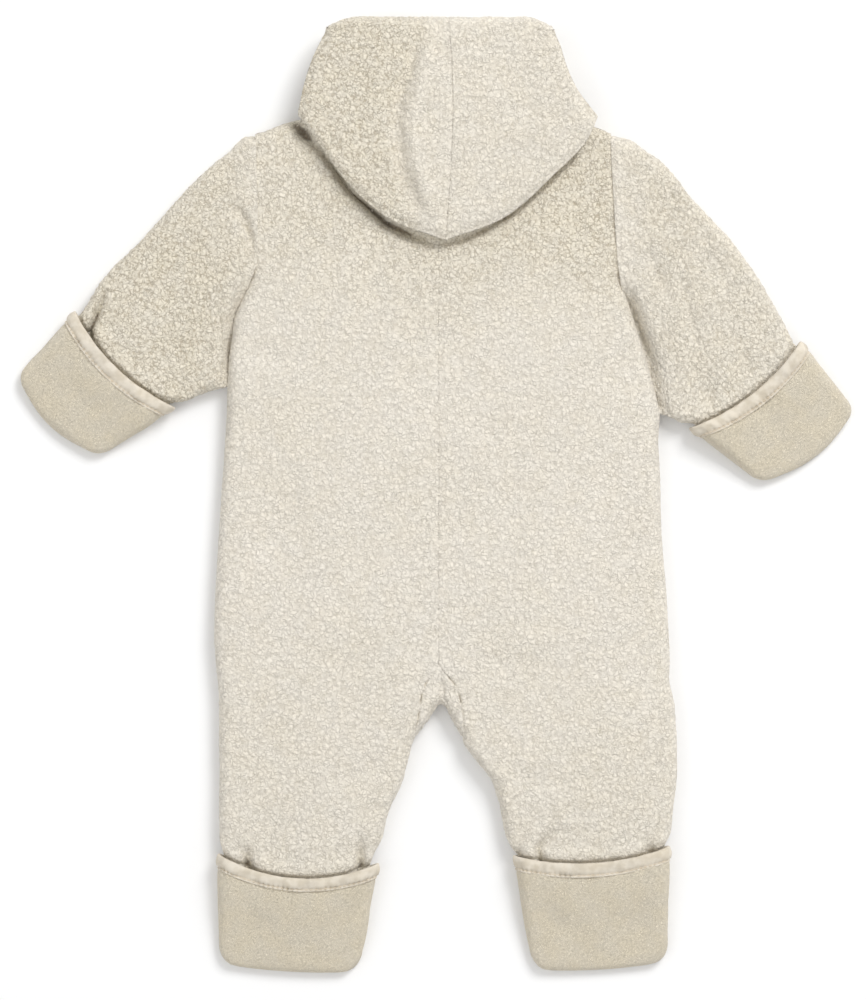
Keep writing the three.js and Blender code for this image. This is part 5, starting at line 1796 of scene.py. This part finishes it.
# %% [markdown]
# ## Materials
# All the cloth is matt. A little sheen on the shader stands for light caught by the
# hairs. One recipe serves every cloth: its tone drifts slowly, and the height of its own
# relief also roughens its hollows a little, paints shade into them and a highlight on its tops.

# %% Cloth material
CLOTH_SPECULAR, SHEEN_ROUGHNESS = 0.25, 0.5
ROUGH_VARIES = 0.04
# Painted highlight on the relief's tops takes this share of the contrast.
PAINTED_HIGHLIGHT_SHARE = 0.4          # how much of the contrast brightens the tops


def colour(red, green, blue):
    """A colour given as it looks on screen, turned into the linear one that shaders need."""
    def linear(v):
        v /= 255
        return v / 12.92 if v <= 0.04045 else ((v + 0.055) / 1.055) ** 2.4
    return (linear(red), linear(green), linear(blue), 1)


def fabric(name, tone, amount, height_of, depth, rough, sheen, contrast=0.07):
    """A matt cloth: tone that drifts by amount, relief from height_of, depth mm deep, and sheen."""
    material = bpy.data.materials.new(name)
    material.use_nodes = True
    tree = material.node_tree
    shader = tree.nodes["Principled BSDF"]
    shader.inputs["Specular IOR Level"].default_value = CLOTH_SPECULAR
    shader.inputs["Sheen Weight"].default_value = sheen
    shader.inputs["Sheen Roughness"].default_value = SHEEN_ROUGHNESS
    base = tone(tree) if callable(tone) else tone
    drifted = use_group(tree, drift_tree, Colour=base, Amount=amount)
    height = height_of(tree)
    bump = add_node(tree, "ShaderNodeBump")
    feed(tree, bump, Height=height, Distance=depth * MM, Strength=1.0)
    # Painted shade in the relief's hollows and a painted highlight on its tops, multiplied into the
    # colour.
    shade = ramp(tree, height, 0.15, 0.65, 1 - contrast, 1 + contrast * PAINTED_HIGHLIGHT_SHARE)
    painted_shade_and_highlight = add_node(tree, "ShaderNodeCombineColor")
    for socket in painted_shade_and_highlight.inputs:
        tree.links.new(shade, socket)
    feed(tree, shader, Base_Color=blend(tree, 1.0, drifted.outputs[0], painted_shade_and_highlight.outputs[0], "MULTIPLY"),
         Roughness=ramp(tree, height, 0.0, 1.0, rough + ROUGH_VARIES, rough - ROUGH_VARIES),
         Normal=bump.outputs[0])
    print("cloth:", name)
    return material


# %% [markdown]
# ## Teddy pile
# The tufts are real, and their marks in the mesh say where a gap or a deep crease is: these
# get painted shade, and the tufts' tops a slight painted highlight. The small curls on them
# are only relief, with painted shade in their gaps. Where the nap is turned from the light,
# more painted shade darkens the gaps and dulls the whole cloth.

# %% Pile finish
SMALL_CURL = 2.7
# Colours of the pile's painted highlight and painted shade: tufts' tops and feet, deep creases, curls'
# gaps and nap turned from the light.
SHADED_TUFT_FOOT, LIT_TUFT_TOP = colour(232, 225, 210), colour(239, 232, 219)
CREASE_SHADE = colour(140, 126, 108)
GAP_SHADE, NAP_SHADE = (0.52, 0.46, 0.38, 1), (0.93, 0.915, 0.85, 1)    # multiplied in


def small_curls(size):
    return lambda tree: use_group(tree, curl_tree, Size=size).outputs[0]


def pile_tone(tree):
    """Painted highlight on the tufts' tops, painted shade in the gaps and creases, and more painted shade
    where the nap turns from the light.
    """
    top = add_node(tree, "ShaderNodeAttribute", attribute_name="painted_shade_mark").outputs["Fac"]
    painted_nap_shade = add_node(tree, "ShaderNodeAttribute", attribute_name="painted_nap_shade").outputs["Fac"]
    gap = use_group(tree, curl_tree, Size=SMALL_CURL).outputs["Gap"]
    # Painted shade at the tufts' feet and, darker, deep in creases.
    tone = blend(tree, ramp(tree, top, 0.0, 0.7), SHADED_TUFT_FOOT, LIT_TUFT_TOP)
    tone = blend(tree, ramp(tree, top, -1.0, 0.0, 1.0, 0.0), tone, CREASE_SHADE)
    # Painted shade in the curls' gaps, stronger where the nap turns from the light; then painted shade
    # over all where it turns away.
    between = maths(tree, "MULTIPLY", gap, ramp(tree, painted_nap_shade, 0.0, 1.0, 0.16, 0.8))
    tone = blend(tree, between, tone, GAP_SHADE, "MULTIPLY")
    return blend(tree, painted_nap_shade, tone, NAP_SHADE, "MULTIPLY")


pile_material = fabric(
    "teddy_pile", tone=pile_tone, amount=0.06, height_of=small_curls(SMALL_CURL), depth=0.85,
    rough=0.93, sheen=0.3, contrast=0.08)

# %% [markdown]
# ## Smooth fleece, jersey, thread and tape
# The mitts' fleece has short hairs in little strands, so it takes the fibres with a strong
# contrast of painted shade and highlight. Jersey is a fine knit with ribs both ways, and the binding has
# faded unevenly.
# Thread and tape are too small to need more than one tone.

# %% Other cloth finishes


def fibres(size):
    return lambda tree: use_group(tree, fibre_tree, Size=size).outputs[0]


def ribs(across, along):
    return lambda tree: use_group(tree, rib_tree, Across=across, Along=along).outputs[0]


def binding_tone(tree):
    """Jersey that has faded and rubbed unevenly."""
    patches = ramp(tree, noise(tree, millimetres(tree), 6.5, 3.0), 0.34, 0.66)
    return blend(tree, patches, colour(211, 201, 183), colour(228, 219, 203))


fleece_material = fabric(
    "beige_fleece", tone=colour(243, 232, 209), amount=0.07, height_of=fibres(1.0), depth=1.0,
    rough=0.9, sheen=0.25, contrast=0.17)
binding_material = fabric(
    "jersey_binding", tone=binding_tone, amount=0.2, height_of=ribs(0.8, 0.95), depth=0.08,
    rough=0.85, sheen=0.15)
thread_material = fabric(
    "stitch_thread", tone=colour(222, 209, 188), amount=0.05, height_of=fibres(0.3), depth=0.05,
    rough=0.7, sheen=0.1)
tape_material = fabric(
    "zip_tape", tone=colour(216, 207, 189), amount=0.05, height_of=ribs(0.7, 0.5), depth=0.06,
    rough=0.8, sheen=0.1)

# %% [markdown]
# ## Hard parts of the zip
# The teeth are moulded plastic. The slider and the pull are cast zinc with a satin paint
# in the cloth's tone, under a thin clear coat. Both are a little uneven and worn.

# %% Hard finishes
HARD_DRIFT, GRAIN_SIZE = 0.12, 0.5


def hard(name, base, rough, metallic, bump_depth, clear=0.0):
    """A moulded or painted hard finish with fine unevenness and worn roughness."""
    material = bpy.data.materials.new(name)
    material.use_nodes = True
    tree = material.node_tree
    shader = tree.nodes["Principled BSDF"]
    shader.inputs["Metallic"].default_value = metallic
    shader.inputs["Coat Weight"].default_value = clear
    grain = noise(tree, millimetres(tree), GRAIN_SIZE, 3.0)
    drifted = use_group(tree, drift_tree, Colour=base, Amount=HARD_DRIFT)
    bump = add_node(tree, "ShaderNodeBump")
    feed(tree, bump, Height=grain, Distance=bump_depth * MM)
    feed(tree, shader, Base_Color=drifted.outputs[0], Normal=bump.outputs[0],
         Roughness=ramp(tree, grain, 0.3, 0.7, rough - 0.06, rough + 0.08))
    print("hard finish:", name)
    return material


teeth_material = hard("moulded_teeth", base=colour(214, 205, 186), rough=0.42, metallic=0.0,
                      bump_depth=0.03)
metal_material = hard("satin_painted_zinc", base=colour(208, 200, 182), rough=0.34,
                      metallic=0.25, bump_depth=0.03, clear=0.3)

# %% [markdown]
# ## Putting the materials on
# Every piece made above takes one material. The slider and the pull are the packed
# model's own solids, so they only get a new finish and stay where they are.

# %% Dress the pieces


def dress(pieces, material):
    """Gives each piece that one material."""
    for piece in pieces:
        piece.data.materials.clear()
        piece.data.materials.append(material)
    print(material.name, "on", len(pieces), "pieces")


dress(pile_pieces, pile_material)
dress(fleece_pieces, fleece_material)
dress(binding_pieces, binding_material)
dress(thread_pieces, thread_material)
dress(tape_pieces, tape_material)
dress([teeth], teeth_material)
dress([frame["nodes"]["zip_slider"], frame["nodes"]["zip_pull"]], metal_material)
